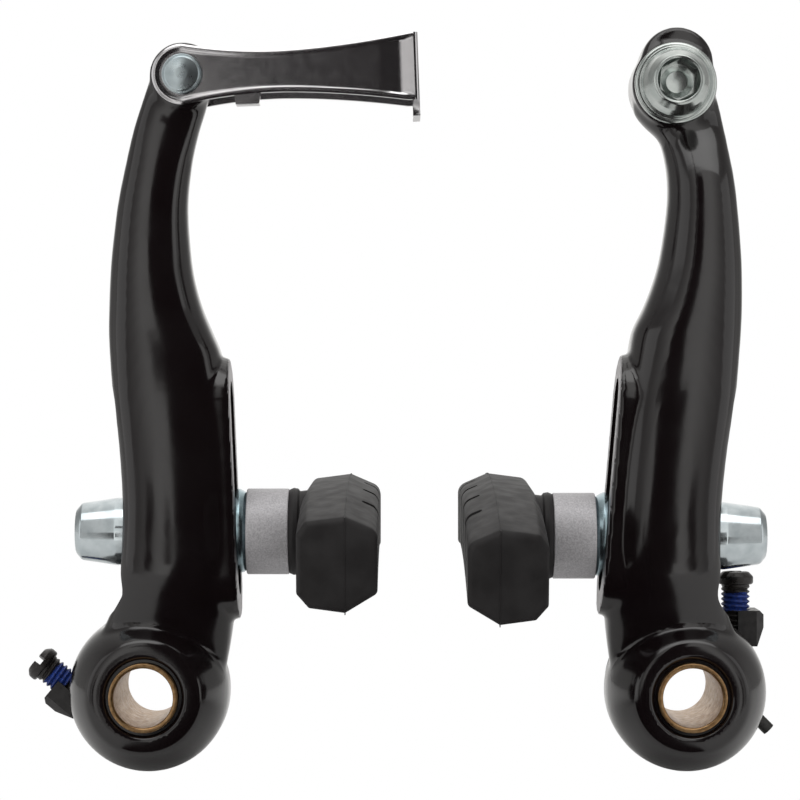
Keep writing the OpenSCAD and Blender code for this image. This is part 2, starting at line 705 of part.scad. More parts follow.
bolt_seat_y = anchor_face_y - 2 * seat - anchor_washer_t;
bolt_len = anchor_head_t + anchor_washer_t - 0.8;
bolt_skirt_h = 0.9;
bolt_top_d = bolt_head_d - 3.4;
bolt_cone_d = bolt_head_d - 2.4;
socket_web = 0.8;
module cable_anchor_bolt() color([0.7, 0.74, 0.76]) right_lever() anchor_place()
    translate([0, bolt_seat_y, 0]) rotate([90, 0, 0]) difference() {
        union() {
            rotate_extrude() polygon([
                [0, 0], [bolt_head_d / 2, 0], [bolt_head_d / 2, bolt_skirt_h - 0.4],
                [bolt_head_d / 2 - 0.3, bolt_skirt_h], [bolt_cone_d / 2, bolt_head_h - 0.6],
                [bolt_top_d / 2, bolt_head_h], [0, bolt_head_h]
            ]);
            translate([0, 0, -bolt_len]) cylinder(d = bolt_d, h = bolt_len + 0.5);
        }
        translate([0, 0, bolt_head_h - 0.5])
            cylinder(d1 = hex_af + 1.2, d2 = hex_af + 2.2, h = 0.6);
        rotate([0, 0, 30]) translate([0, 0, socket_web])
            cylinder(d = hex_af / cos(30), h = bolt_head_h, $fn = 6);
    }

left_arm();
right_arm();
left_side() pivot_bush();  // left_pivot_bush
right_side() pivot_bush();  // right_pivot_bush
left_side() spring_collar(left_collar_turn);  // left_spring_collar
right_side() spring_collar(right_collar_turn);  // right_spring_collar
left_side() anchor_pin();  // left_anchor_pin
right_side() anchor_pin();  // right_anchor_pin
left_side() return_spring(left_collar_turn, left_lean, left_stub);  // left_return_spring
right_side() return_spring(right_collar_turn, right_lean, right_stub);  // right_return_spring
left_lever() spring_peg();  // left_spring_peg
right_lever() spring_peg();  // right_spring_peg
left_side() tension_screw(left_collar_turn, left_screw_gap);  // left_tension_screw
right_side() tension_screw(right_collar_turn, right_screw_gap);  // right_tension_screw
left_side() brake_pad(left_lean, left_post_z, left_nose);  // left_brake_pad
right_side() brake_pad(right_lean, right_post_z, right_nose);  // right_brake_pad
left_side() pad_stud(left_lean, left_post_z);  // left_pad_stud
right_side() pad_stud(right_lean, right_post_z);  // right_pad_stud
left_side() inner_dome_washer(left_lean, left_post_z);  // left_inner_dome_washer
right_side() inner_dome_washer(right_lean, right_post_z);  // right_inner_dome_washer
left_side() spacer_cup(left_lean, left_post_z);  // left_spacer_cup
right_side() spacer_cup(right_lean, right_post_z);  // right_spacer_cup
left_side() outer_dome_washer(left_lean, left_post_z);  // left_outer_dome_washer
right_side() outer_dome_washer(right_lean, right_post_z);  // right_outer_dome_washer
left_side() outer_cup_washer(left_lean, left_post_z);  // left_outer_cup_washer
right_side() outer_cup_washer(right_lean, right_post_z);  // right_outer_cup_washer
left_side() pad_nut(left_lean, left_post_z);  // left_pad_nut
right_side() pad_nut(right_lean, right_post_z);  // right_pad_nut
noodle_link();
link_rivet();
cable_anchor_bolt();
cable_anchor_washer();
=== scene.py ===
"""Looks of a pair of short linear pull brake arms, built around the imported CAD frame.

Places are in millimetres in the frame's own axes: X from the left boss to the right boss, Y back into
the bicycle, Z up, origin in the middle of the left pivot bore. Meshes are made in metres.
"""

from math import asin, cos, hypot, pi, radians, sin, sqrt, tan

import bmesh
import bpy
import numpy as np
from mathutils import Matrix, Vector, noise


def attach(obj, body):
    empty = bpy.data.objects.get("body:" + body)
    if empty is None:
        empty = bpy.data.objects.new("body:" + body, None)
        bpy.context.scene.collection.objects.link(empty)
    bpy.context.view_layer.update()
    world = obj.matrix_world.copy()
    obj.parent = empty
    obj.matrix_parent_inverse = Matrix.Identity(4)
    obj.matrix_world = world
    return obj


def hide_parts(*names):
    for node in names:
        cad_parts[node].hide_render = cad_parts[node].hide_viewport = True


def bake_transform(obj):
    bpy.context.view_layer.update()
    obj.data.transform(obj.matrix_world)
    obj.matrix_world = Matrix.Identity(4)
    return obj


MM = 0.001
SIDES = ("left", "right")

# The same values as the CAD source, in millimetres and degrees

# Layout of the two sides
BOSS_SPACING = 74.3
LEAN = {"left": 3.1, "right": 0.6}
COLLAR_TURN = {"left": 50, "right": 0}
POST_Z = {"left": 22.2, "right": 21.6}
POST_Y = -3
SEAT = 0.03

# Pivot bush, and the foot of the arm round it
BUSH_BORE = 8.05
BUSH_OD = 9.4
BUSH_LEN = 21.5
ARM_CLEARANCE = 0.05
FOOT_OD = 22.2
FOOT_FLAT_OD = 15
FOOT_DEPTH = 14.1
FOOT_CURVE_DEPTH = 10
FOOT_FRONT = -BUSH_LEN / 2 + 0.3
FOOT_BACK = FOOT_FRONT + FOOT_DEPTH

# Heads of the two arms
ARM_LEN = 85
RIVET_X = 0.3
ANCHOR_X = 0.7
ANCHOR_DROP = 1.05
HEAD_Y = -1.5
LINK_HEAD_OD = 9.2
LINK_HEAD_T = 7.3
LINK_HEAD_FRONT = HEAD_Y - LINK_HEAD_T / 2
LINK_HEAD_BACK = LINK_HEAD_FRONT + LINK_HEAD_T
ANCHOR_HEAD_OD = 11.8
ANCHOR_HEAD_T = 8.8
ANCHOR_FACE = HEAD_Y - 0.8
ANCHOR_BACK = ANCHOR_FACE + ANCHOR_HEAD_T

# Track with its slot, and the nut pocket behind it
TRACK_H = 36
TRACK_W = 13
TRACK_T = 5
TRACK_X = 10.55
TRACK_Z = 28.8
TRACK_TILT = 5.6
WEB_T = 8.8
SLOT_W = 6.4
SLOT_H = TRACK_H - (TRACK_W - SLOT_W)
POCKET_W = 11.2
POCKET_H = SLOT_H - SLOT_W + POCKET_W

# Stud of the pad with its washers, spacer and nut
STUD_D = 6
STUD_GAP = 0.1
BALL_R = 6.5
BALL_GAP = 0.05
WASHER_OD = 11.5
WASHER_BORE = 8
WASHER_RIM = 0.6
OUTER_WASHER_OD = 10.6
CUP_LIP = 0.4
CUP_LEN = 2.9
SPACER_OD = 11.8
SPACER_LEN = 5.8
NUT_LEN = 9.2
NUT_FOOT_D = 9.3
NUT_TIP_D = 7.6
HEX_AF = 5
SOCKET_DEPTH = 4.5

# Brake pad
PAD_LEN = 60
PAD_T = 10.4
PAD_H = 12.7
RIM_FACE_H = 8.3
PAD_BEND = 200
PAD_RISE = 0.9
NOSE = {"left": 3.2, "right": 5.2}
PAD_COLLAR_OD = 12
PAD_COLLAR_LEN = 1.95
GROOVES = 4
GROOVE_PITCH = 11
GROOVE_W = 1.4
GROOVE_DEPTH = 2.2

# Link and its rivet
LINK_LEN = 32.4
LINK_RISE = 2.1
SHEET_T = 1
PLATE_GAP = 0.1
EYE_R = 4.15
WAIST_X = 12.7
WAIST_H = 5.8
FLARE_H = 9.2
FLARE_X = LINK_LEN - 1.6
WALL_DROP = 2.2
LINK_FRONT = LINK_HEAD_FRONT - PLATE_GAP - SHEET_T
LINK_BACK = LINK_HEAD_BACK + PLATE_GAP + SHEET_T
NOODLE_D = 5.2
CABLE_SLOT_W = 2.2
RIVET_D = 4
RIVET_HEAD_D = 5.6

# Cable anchor
ANCHOR_WASHER_OD = 11.3
ANCHOR_WASHER_T = 1.5
BOLT_D = 6
BOLT_LEN = 9.5
BOLT_HEAD_D = 10.2
BOLT_HEAD_H = 4.2

# Return spring, with the collar behind it and the peg on the arm
WIRE_D = 1.8
COIL_D = 14.6
COIL_GAP = 0.1
LEG_TOP = 41
PEG_X = 4.8
PEG_Z = 37
PEG_D = 2.4
COLLAR_FRONT = FOOT_BACK + 0.35
COLLAR_BACK = BUSH_LEN / 2 - 0.45
COLLAR_FLOOR = 1.2
COIL_Y0 = COLLAR_FRONT + WIRE_D / 2 + COIL_GAP
COIL_Y1 = COLLAR_BACK - COLLAR_FLOOR - WIRE_D / 2 - COIL_GAP
STUB = {"left": 0.3, "right": 4}
STUB_ANGLE = -150
STUB_BEND = 2
STUB_SWEEP = 105

# Tension screw in the collar's lug
SCREW_D = 4
SCREW_LEN = 7.3
SCREW_HEAD_D = 5
SCREW_GAP = {"left": 2.6, "right": 3.6}
LUG_X = 7.8
LUG_HIGH = 10.7

# Stations of the arm: height, outer edge, inner edge, front, back, squareness
LINK_IN = (LINK_HEAD_FRONT + 0.2, LINK_HEAD_BACK - 0.2)
ANCHOR_IN = (ANCHOR_FACE + 0.2, ANCHOR_BACK - 0.4)
BEAM_LOW = [
    [-3, -8.4, 9.4, -4.4, 2.6, 2.6],
    [6, -7.4, 10.8, -6.4, 2.9, 2.8],
    [12, -5.2, 11.3, -8.7, 3.3, 3.4],
    [16, -4.7, 11, -10.2, 3.6, 4.2],
    [20, -4.4, 10.6, -10.8, 4, 4.6],
    [26, -4.6, 10.1, -11, 4.9, 4.6],
    [33, -5.4, 9.4, -11, 5.2, 4.6],
    [40, -6.6, 8.7, -10.7, 5, 4.2],
]
LINK_TOP = [
    [47, -7.6, 7.6, -10, 4.6, 3.4],
    [50, -7.9, 6.2, -9.6, 4.4, 3.1],
    [53, -8.05, 4.75, -9.1, 4.1, 2.8],
    [56.5, -8.15, 3.5, -8.5, 3.8, 2.65],
    [60, -8.15, 2.7, -7.9, 3.5, 2.5],
    [67, -7.75, 1.85, -6.9, 3.1, 2.5],
    [73, -6.95, 2.05, -5.9, 2.6, 2.5],
    [77.5, -6.2, 2.75, -5, 2, 2.7],
    [81, -5.3, 3.6, *LINK_IN, 2.8],
    [85, -4.2, 4.2, *LINK_IN, 3],
]
ANCHOR_TOP = [
    [47, -7.4, 7.6, -10, 4.6, 3.4],
    [50, -7.7, 7, -9.6, 4.4, 3.1],
    [53, -7.9, 5.5, -9.1, 4.1, 2.8],
    [56.5, -8, 4.1, -8.5, 3.8, 2.65],
    [60, -8, 3.1, -7.8, 3.5, 2.5],
    [67, -7.65, 1.95, -6.4, 4, 2.5],
    [71, -7.3, 1.8, -5.4, 4.6, 2.6],
    [74.5, -6.8, 2.2, -3.9, 5, 2.7],
    [76.7, -6.5, 2.9, -2.7, 5.3, 2.8],
    [78.4, -6.2, 4.6, ANCHOR_IN[0], 5.6, 2.8],
    [80.4, -5.8, 6.1, ANCHOR_IN[0], 5.8, 2.8],
    [83.5, -5, 6.3, *ANCHOR_IN, 3],
]


# Places

def turn(degrees, axis):
    return Matrix.Rotation(radians(degrees), 4, axis)


def shift(x, y, z):
    return Matrix.Translation((x, y, z))


def side_frame(side):
    """From the frame of one side, X towards the rim, to the object's own frame."""
    if side == "left":
        return Matrix.Identity(4)
    return shift(BOSS_SPACING, 0, 0) @ Matrix.Diagonal((-1, 1, 1, 1))


def lever_frame(side):
    return side_frame(side) @ turn(LEAN[side], "Y")


ALONG_X = turn(90, "Y")
ALONG_Y = turn(-90, "X")
TRACK = shift(TRACK_X, POST_Y, TRACK_Z) @ turn(-TRACK_TILT, "Y")
TRACK_FACE = TRACK @ turn(90, "Y") @ turn(90, "Z")
RIVET = shift(RIVET_X, 0, ARM_LEN)
ANCHOR = shift(ANCHOR_X, 0, ARM_LEN - ANCHOR_DROP)


def track_at(side):
    lean = radians(LEAN[side])
    x = TRACK_X * cos(lean) + TRACK_Z * sin(lean)
    z = TRACK_Z * cos(lean) - TRACK_X * sin(lean)
    return x - tan(radians(TRACK_TILT - LEAN[side])) * (POST_Z[side] - z)


def ball_depth(od):
    return sqrt(BALL_R**2 - od**2 / 4) - WASHER_RIM


def cup_rim(od):
    return sqrt(BALL_R**2 - (od / 2 - CUP_LIP) ** 2) - ball_depth(od)


def post_places(side):
    """Places along a post, from the track outwards to the pad and inwards to the nut."""
    slant = cos(radians(TRACK_TILT - LEAN[side]))
    inner = track_at(side) + (SEAT - ball_depth(WASHER_OD)) / slant
    outer = track_at(side) + (ball_depth(OUTER_WASHER_OD) - WEB_T - SEAT) / slant
    spacer = inner + ball_depth(WASHER_OD) + cup_rim(WASHER_OD) + BALL_GAP
    cup = outer - ball_depth(OUTER_WASHER_OD) - cup_rim(OUTER_WASHER_OD) - BALL_GAP
    return {
        "inner": inner,
        "outer": outer,
        "spacer": spacer,
        "cup": cup,
        "pad": spacer + SPACER_LEN + SEAT,
        "nut": cup - CUP_LEN - SEAT,
    }


# Mesh making

def add_object(name, data):
    obj = bpy.data.objects.new(name, data)
    bpy.context.scene.collection.objects.link(obj)
    return obj


def make(name, verts, faces, place=Matrix.Identity(4)):
    """A closed mesh in metres from points in millimetres."""
    form = bmesh.new()
    points = [form.verts.new((place @ Vector(v)) * MM) for v in verts]
    for face in faces:
        form.faces.new([points[i] for i in face])
    bmesh.ops.remove_doubles(form, verts=form.verts, dist=1e-7)
    bmesh.ops.recalc_face_normals(form, faces=form.faces)
    mesh = bpy.data.meshes.new(name)
    form.to_mesh(mesh)
    form.free()
    return add_object(name, mesh)


def apply(obj):
    graph = bpy.context.evaluated_depsgraph_get()
    mesh = bpy.data.meshes.new_from_object(obj.evaluated_get(graph))
    obj.modifiers.clear()
    obj.data = mesh
    return obj


def cut(obj, *cutters):
    """Takes the cutters out of the object and deletes them."""
    for cutter in cutters:
        step = obj.modifiers.new("cut", "BOOLEAN")
        step.operation = "DIFFERENCE"
        step.solver = "EXACT"
        step.object = cutter
    apply(obj)
    for cutter in cutters:
        bpy.data.objects.remove(cutter)
    return obj


def join(name, *objs):
    """One object of several meshes that may overlap."""
    form = bmesh.new()
    for obj in objs:
        form.from_mesh(obj.data)
        bpy.data.objects.remove(obj)
    mesh = bpy.data.meshes.new(name)
    form.to_mesh(mesh)
    form.free()
    return add_object(name, mesh)


def smooth(obj, degrees=35):
    obj.data.shade_smooth()
    obj.data.set_sharp_from_angle(angle=radians(degrees))
    return obj


def remesh(obj, voxel, passes):
    """Melts overlapping solids into one skin and softens its creases."""
    step = obj.modifiers.new("skin", "REMESH")
    step.mode = "VOXEL"
    step.voxel_size = voxel * MM
    soften = obj.modifiers.new("soften", "SMOOTH")
    soften.factor = 0.5
    soften.iterations = passes
    return apply(obj)


def grid_faces(rows, columns, wrap_rows=False):
    """Faces between rows of points that each close on themselves."""
    faces = []
    for i in range(rows if wrap_rows else rows - 1):
        k = (i + 1) % rows
        for j in range(columns):
            m = (j + 1) % columns
            faces.append((i * columns + j, i * columns + m, k * columns + m, k * columns + j))
    return faces


def skin(rings):
    """Points and faces of a stack of rings, capped at both ends."""
    count = len(rings[0])
    verts = [p for ring in rings for p in ring]
    last = (len(rings) - 1) * count
    caps = [tuple(range(count)), tuple(last + j for j in range(count))]
    return verts, grid_faces(len(rings), count) + caps


def rounded(corners, closed=False, steps=5):
    """A profile with each corner (x, y, radius) turned into a small arc."""
    out = []
    count = len(corners)
    for i, (x, y, radius) in enumerate(corners):
        if radius == 0 or (not closed and i in (0, count - 1)):
            out.append((x, y))
            continue
        here = Vector((x, y))
        back = (Vector(corners[i - 1][:2]) - here).normalized()
        ahead = (Vector(corners[(i + 1) % count][:2]) - here).normalized()
        half = back.angle(ahead) / 2
        centre = here + (back + ahead).normalized() * radius / sin(half)
        start = here + back * radius / tan(half) - centre
        end = here + ahead * radius / tan(half) - centre
        sweep = start.angle_signed(end)
        for k in range(steps + 1):
            arm = start.copy()
            arm.rotate(Matrix.Rotation(-sweep * k / steps, 2))
            out.append(tuple(centre + arm))
    return out


def ring_angles(count):
    return [2 * pi * j / count for j in range(count)]


def revolve(name, profile, place, closed=False, segments=96):
    """A turned piece: profile of (radius, height), closed on itself or ending on the axis."""
    verts = []
    for radius, height in profile:
        for a in ring_angles(segments):
            verts.append((radius * cos(a), radius * sin(a), height))
    return make(name, verts, grid_faces(len(profile), segments, closed), place)


def rod(radius, start, end, place, segments=64):
    """A plain rod or cutter along the local Z axis, or a hexagon with six segments."""
    profile = [(0, start), (radius, start), (radius, end), (0, end)]
    return revolve("rod", profile, place, segments=segments)


def prism(outline, start, end, place):
    """An extruded outline along the local Z axis."""
    rings = [[(x, y, h) for x, y in outline] for h in (start, end)]
    return make("prism", *skin(rings), place)


def rectangle(left, right, low, high):
    return [(left, low), (right, low), (right, high), (left, high)]


def oblong(height, width, steps=24):
    """Outline of an upright oblong in local X (width) and Y (height)."""
    out = []
    r = width / 2
    for sign, first in ((1, -90), (-1, 90)):
        for k in range(steps + 1):
            a = radians(first + 180 * k / steps)
            out.append((r * sin(a), sign * (height - width) / 2 + r * cos(a)))
    return out


def tube(name, path, radius, place, sides=16):
    """Round wire along a path that never runs along Y."""
    rings = []
    last = len(path) - 1
    for i, point in enumerate(path):
        ahead = (Vector(path[min(i + 1, last)]) - Vector(path[max(i - 1, 0)])).normalized()
        u = ahead.cross(Vector((0, 1, 0))).normalized()
        v = ahead.cross(u)
        ring = []
        for a in ring_angles(sides):
            ring.append(Vector(point) + radius * cos(a) * u + radius * sin(a) * v)
        rings.append(ring)
    return make(name, *skin(rings), place)


def dress(obj, *mats):
    obj.data.materials.clear()
    for mat in mats:
        obj.data.materials.append(mat)


def finish_piece(obj, body, node, mat=None):
    """Dresses a finished mesh in its material where one is given, hangs it on its body, and hides the
    CAD node that it stands for.
    """
    if mat:
        dress(obj, mat)
    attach(obj, body)
    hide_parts(node)


# Materials

# The values between which a noise mostly lies
NOISE_SPAN = (0.35, 0.65)


def material(name, colour, metallic, roughness, **inputs):
    mat = bpy.data.materials.new(name)
    mat.use_nodes = True
    shader = mat.node_tree.nodes["Principled BSDF"]
    shader.inputs["Base Color"].default_value = (*colour, 1)
    shader.inputs["Metallic"].default_value = metallic
    shader.inputs["Roughness"].default_value = roughness
    for label, value in inputs.items():
        shader.inputs[label.replace("_", " ")].default_value = value
    return mat


def connect(source, output, target, socket):
    """Links two nodes of one tree."""
    source.id_data.links.new(source.outputs[output], target.inputs[socket])


def place_node(mat):
    nodes = mat.node_tree.nodes
    found = [n for n in nodes if n.type == "TEX_COORD"]
    return found[0] if found else nodes.new("ShaderNodeTexCoord")


def noise_node(mat, size, detail, stretch=(1, 1, 1)):
    """Noise with features of about that size in millimetres."""
    tree = mat.node_tree
    mapping = tree.nodes.new("ShaderNodeMapping")
    mapping.inputs["Scale"].default_value = stretch
    connect(place_node(mat), "Object", mapping, "Vector")
    node = tree.nodes.new("ShaderNodeTexNoise")
    node.inputs["Scale"].default_value = 1 / (size * MM)
    node.inputs["Detail"].default_value = detail
    connect(mapping, "Vector", node, "Vector")
    return node


def vary(mat, socket, size, low, high, detail=3):
    """Drives a shader socket from a noise of that size: a number or a colour between two values."""
    source = noise_node(mat, size, detail)
    tree = mat.node_tree
    ramp = tree.nodes.new("ShaderNodeValToRGB")
    for point, spot, value in zip(ramp.color_ramp.elements, NOISE_SPAN, (low, high)):
        point.position = spot
        point.color = (*value, 1) if isinstance(value, tuple) else (value, value, value, 1)
    connect(source, "Fac", ramp, "Fac")
    connect(ramp, "Color", tree.nodes["Principled BSDF"], socket)


def bump(mat, *layers):
    """Adds up noises as one bump, each with its size, detail, height and, where given, stretch."""
    tree = mat.node_tree
    previous = None
    for size, detail, height, *stretch in layers:
        source = noise_node(mat, size, detail, *stretch)
        node = tree.nodes.new("ShaderNodeBump")
        node.inputs["Strength"].default_value = 1
        node.inputs["Distance"].default_value = height * MM
        connect(source, "Fac", node, "Height")
        if previous:
            connect(previous, "Normal", node, "Normal")
        previous = node
    connect(previous, "Normal", tree.nodes["Principled BSDF"], "Normal")


def arm_paint():
    mat = material("black arm paint", (0.005, 0.003, 0.0036), 0, 0.13, Specular_IOR_Level=0.65)
    vary(mat, "Base Color", 9, (0.0044, 0.0026, 0.003), (0.0058, 0.004, 0.0044))
    vary(mat, "Roughness", 5, 0.11, 0.16)
    bump(mat, (2.6, 1, 0.008), (0.5, 2, 0.0012))
    return mat


def brass():
    mat = material("bush brass", (0.5, 0.33, 0.18), 1, 0.36)
    vary(mat, "Base Color", 0.5, (0.28, 0.16, 0.072), (0.41, 0.26, 0.13))
    vary(mat, "Roughness", 0.8, 0.30, 0.44)
    bump(mat, (0.12, 2, 0.006), (0.5, 1, 0.01, (0.1, 8, 0.1)))
    return mat


def rubber():
    mat = material("black rubber", (0.02, 0.0185, 0.019), 0, 0.6, Specular_IOR_Level=0.2)
    vary(mat, "Base Color", 4, (0.017, 0.0155, 0.016), (0.024, 0.0225, 0.023))
    vary(mat, "Roughness", 2.5, 0.52, 0.62)
    bump(mat, (0.25, 2, 0.006), (2.5, 2, 0.012))
    return mat


def zinc(name, low, high, roughness):
    mat = material(name, high, 1, roughness)
    vary(mat, "Base Color", 2, low, high)
    vary(mat, "Roughness", 1.5, roughness - 0.02, roughness + 0.03)
    bump(mat, (2.2, 1, 0.002), (0.15, 2, 0.0003))
    return mat


def blasted_silver():
    mat = material("blasted silver", (0.45, 0.44, 0.45), 0.5, 0.55)
    vary(mat, "Base Color", 0.2, (0.37, 0.36, 0.375), (0.53, 0.52, 0.535), 4)
    vary(mat, "Roughness", 0.4, 0.48, 0.60)
    bump(mat, (0.3, 3, 0.014), (0.12, 2, 0.005))
    return mat


def bright_plate():
    mat = material("bright link plate", (0.45, 0.44, 0.45), 1, 0.2)
    vary(mat, "Base Color", 3, (0.53, 0.52, 0.53), (0.56, 0.55, 0.56))
    vary(mat, "Roughness", 1.2, 0.16, 0.19, 4)
    bump(mat, (0.3, 3, 0.0006), (5, 1, 0.001))
    return mat


def bare_track():
    mat = material("bare track face", (0.36, 0.35, 0.36), 1, 0.42)
    vary(mat, "Roughness", 0.6, 0.34, 0.5)
    bump(mat, (0.2, 2, 0.008, (0.2, 0.2, 3)))
    return mat


def black_steel(name, colour, roughness):
    mat = material(name, colour, 0.3, roughness)
    vary(mat, "Roughness", 0.6, roughness - 0.08, roughness + 0.12)
    vary(mat, "Base Color", 1.1, colour, tuple(c * 1.8 for c in colour))
    bump(mat, (0.3, 3, 0.012))
    return mat


def locking_patch():
    mat = material("blue locking patch", (0.005, 0.02, 0.16), 0, 0.5)
    vary(mat, "Base Color", 0.4, (0.003, 0.010, 0.075), (0.012, 0.045, 0.26))
    bump(mat, (0.2, 3, 0.04))
    return mat


def plain_steel():
    mat = material("plain steel", (0.5, 0.5, 0.51), 1, 0.35)
    vary(mat, "Roughness", 0.5, 0.28, 0.44)
    bump(mat, (0.3, 2, 0.006))
    return mat


# Arms

CROWN = 0.15
OUTER_SQUARE = 1.7
LIP_W = 1.05
LIP_DEPTH = 0.8
LOBE_X = -0.4
LOBE_Z = 3
LOBE_R = ANCHOR_HEAD_OD / 2 - 0.85
LOBE_INSET = 0.5
PEG_HOLE_FLOOR = 1.9
TRACK_MARGIN = 0.4
TRACK_SKIN = 0.12
# How far a cutter reaches past the arm
PAST = 2
THROUGH = 14
POCKET_PAST = 16
# Size of the grid that melts the solids together, and the passes that soften them
VOXEL = 0.32
BODY_PASSES = 14
TRACK_PASSES = 7


def column(table, i, c, t):
    """A smooth curve through one column of a station table."""
    def slope(k):
        a, b = max(k - 1, 0), min(k + 1, len(table) - 1)
        return (table[b][c] - table[a][c]) / (table[b][0] - table[a][0])

    h = table[i + 1][0] - table[i][0]
    t2, t3 = t * t, t * t * t
    return (
        (2 * t3 - 3 * t2 + 1) * table[i][c]
        + (t3 - 2 * t2 + t) * h * slope(i)
        + (3 * t2 - 2 * t3) * table[i + 1][c]
        + (t3 - t2) * h * slope(i + 1)
    )


def arm_section(row, count=96):
    """A rounded section, squarer on the outer side, whose front face is gently crowned."""
    height, outer, inner, front, back, square = row
    ring = []
    for a in ring_angles(count):
        power = square * OUTER_SQUARE if cos(a) < 0 else square
        reach = (abs(cos(a)) ** power + abs(sin(a)) ** power) ** (-1 / power)
        across, deep = reach * cos(a), reach * sin(a)
        if deep < 0:
            deep *= 1 - CROWN * across**2
        ring.append((
            (outer + inner) / 2 + (inner - outer) / 2 * across,
            (front + back) / 2 + (back - front) / 2 * deep,
            height,
        ))
    return ring


def arm_beam(table, steps=8):
    rings = []
    for i in range(len(table) - 1):
        low, high = table[i][0], table[i + 1][0]
        for k in range(steps):
            t = k / steps
            row = [low + (high - low) * t]
            row += [column(table, i, c, t) for c in range(1, 6)]
            rings.append(arm_section(row))
    rings.append(arm_section(table[-1]))
    return make("beam", *skin(rings))


def arm_foot():
    """The round foot: a flat ring in front, with a rim that curves back to the full width."""
    flat, side, depth = FOOT_FLAT_OD / 2, FOOT_OD / 2, FOOT_BACK - FOOT_FRONT
    curve = ((side - flat) ** 2 + FOOT_CURVE_DEPTH**2) / (2 * (side - flat))
    steps = 24
    profile = [(0, 0), (flat, 0)]
    for k in range(1, steps + 1):
        y = FOOT_CURVE_DEPTH * k / steps
        profile.append((side - curve + sqrt(curve**2 - (FOOT_CURVE_DEPTH - y) ** 2), y))
    profile += [(side, depth), (0, depth)]
    return revolve("foot", profile, ALONG_Y @ shift(0, 0, FOOT_FRONT))


def arm_head(side):
    """The round head, with a lobe above the one that holds the cable."""
    if side == "left":
        return [rod(LINK_HEAD_OD / 2, LINK_HEAD_FRONT, LINK_HEAD_BACK, RIVET @ ALONG_Y)]
    lobe = ANCHOR @ shift(LOBE_X, 0, LOBE_Z) @ ALONG_Y
    return [
        rod(ANCHOR_HEAD_OD / 2, ANCHOR_FACE, ANCHOR_BACK, ANCHOR @ ALONG_Y),
        rod(LOBE_R, ANCHOR_FACE + LOBE_INSET, ANCHOR_BACK - LOBE_INSET, lobe),
    ]


def track_block(height, width, start, end):
    """An upright oblong block on the track, from start to end along its outward normal."""
    return prism(oblong(height, width), start, end, TRACK_FACE)


def arm_body(side):
    """Beam, foot and head melted together, then the track melted on with a smaller fillet."""
    table = BEAM_LOW + (LINK_TOP if side == "left" else ANCHOR_TOP)
    body = join("body", arm_beam(table), arm_foot(), *arm_head(side))
    remesh(body, VOXEL, BODY_PASSES)
    body = join(side + "_arm_skin", body, track_block(TRACK_H, TRACK_W, -TRACK_T, 0))
    return remesh(body, VOXEL, TRACK_PASSES)


def bore_cutter():
    """The bore for the bush, with a painted lip in front that narrows in steps."""
    bore = BUSH_OD / 2 + ARM_CLEARANCE
    lip = [(LIP_W, 0), (0.75, 0.12), (0.5, 0.4), (0.4, LIP_DEPTH)]
    profile = [(0, FOOT_FRONT - PAST), (bore + LIP_W, FOOT_FRONT - PAST)]
    profile += [(bore + width, FOOT_FRONT + depth) for width, depth in lip]
    profile += [(bore, FOOT_FRONT + LIP_DEPTH), (bore, FOOT_BACK + PAST), (0, FOOT_BACK + PAST)]
    return revolve("bore", profile, ALONG_Y)


def arm_cutters(side):
    head = RIVET if side == "left" else ANCHOR
    hole = RIVET_D / 2 if side == "left" else BOLT_D / 2 + ARM_CLEARANCE
    return [
        bore_cutter(),
        track_block(SLOT_H, SLOT_W, -WEB_T - 1, PAST),
        track_block(POCKET_H, POCKET_W, -WEB_T - POCKET_PAST, -WEB_T),
        rod(hole, -THROUGH, THROUGH, head @ ALONG_Y),
        rod(PEG_D / 2, PEG_HOLE_FLOOR, THROUGH, shift(PEG_X, 0, PEG_Z) @ ALONG_Y),
    ]


def bare_the_track(body):
    """Gives the face of the track, with a narrow margin, the second material."""
    to_track = TRACK_FACE.inverted()
    for poly in body.data.polygons:
        spot = to_track @ (poly.center / MM)
        across = abs(spot.x) < TRACK_W / 2 + TRACK_MARGIN
        along = abs(spot.y) < TRACK_H / 2 + TRACK_MARGIN
        if spot.z > -TRACK_SKIN and across and along:
            poly.material_index = 1


def arm(side, mats):
    body = cut(arm_body(side), *arm_cutters(side))
    dress(body, mats["paint"], mats["track"])
    bare_the_track(body)
    place = lever_frame(side)
    body.data.transform(Matrix.Scale(MM, 4) @ place @ Matrix.Scale(1 / MM, 4))
    if place.determinant() < 0:
        body.data.flip_normals()
    smooth(body, 32)
    finish_piece(body, side + "_arm", side + "_arm")


# Pivot, collar and spring

def pivot_bush(side, mats):
    inner, outer, half = BUSH_BORE / 2, BUSH_OD / 2, BUSH_LEN / 2
    mouth, rim = 0.3, 0.12
    corners = [(inner, -half, mouth), (outer, -half, rim), (outer, half, rim), (inner, half, mouth)]
    place = side_frame(side) @ ALONG_Y
    obj = revolve(side + "_bush_skin", rounded(corners, True), place, True, 128)
    finish_piece(smooth(obj), "frame_side", side + "_pivot_bush", mats["brass"])


def at_angle(radius, degrees):
    a = radians(degrees)
    return Vector((radius * cos(a), radius * sin(a)))


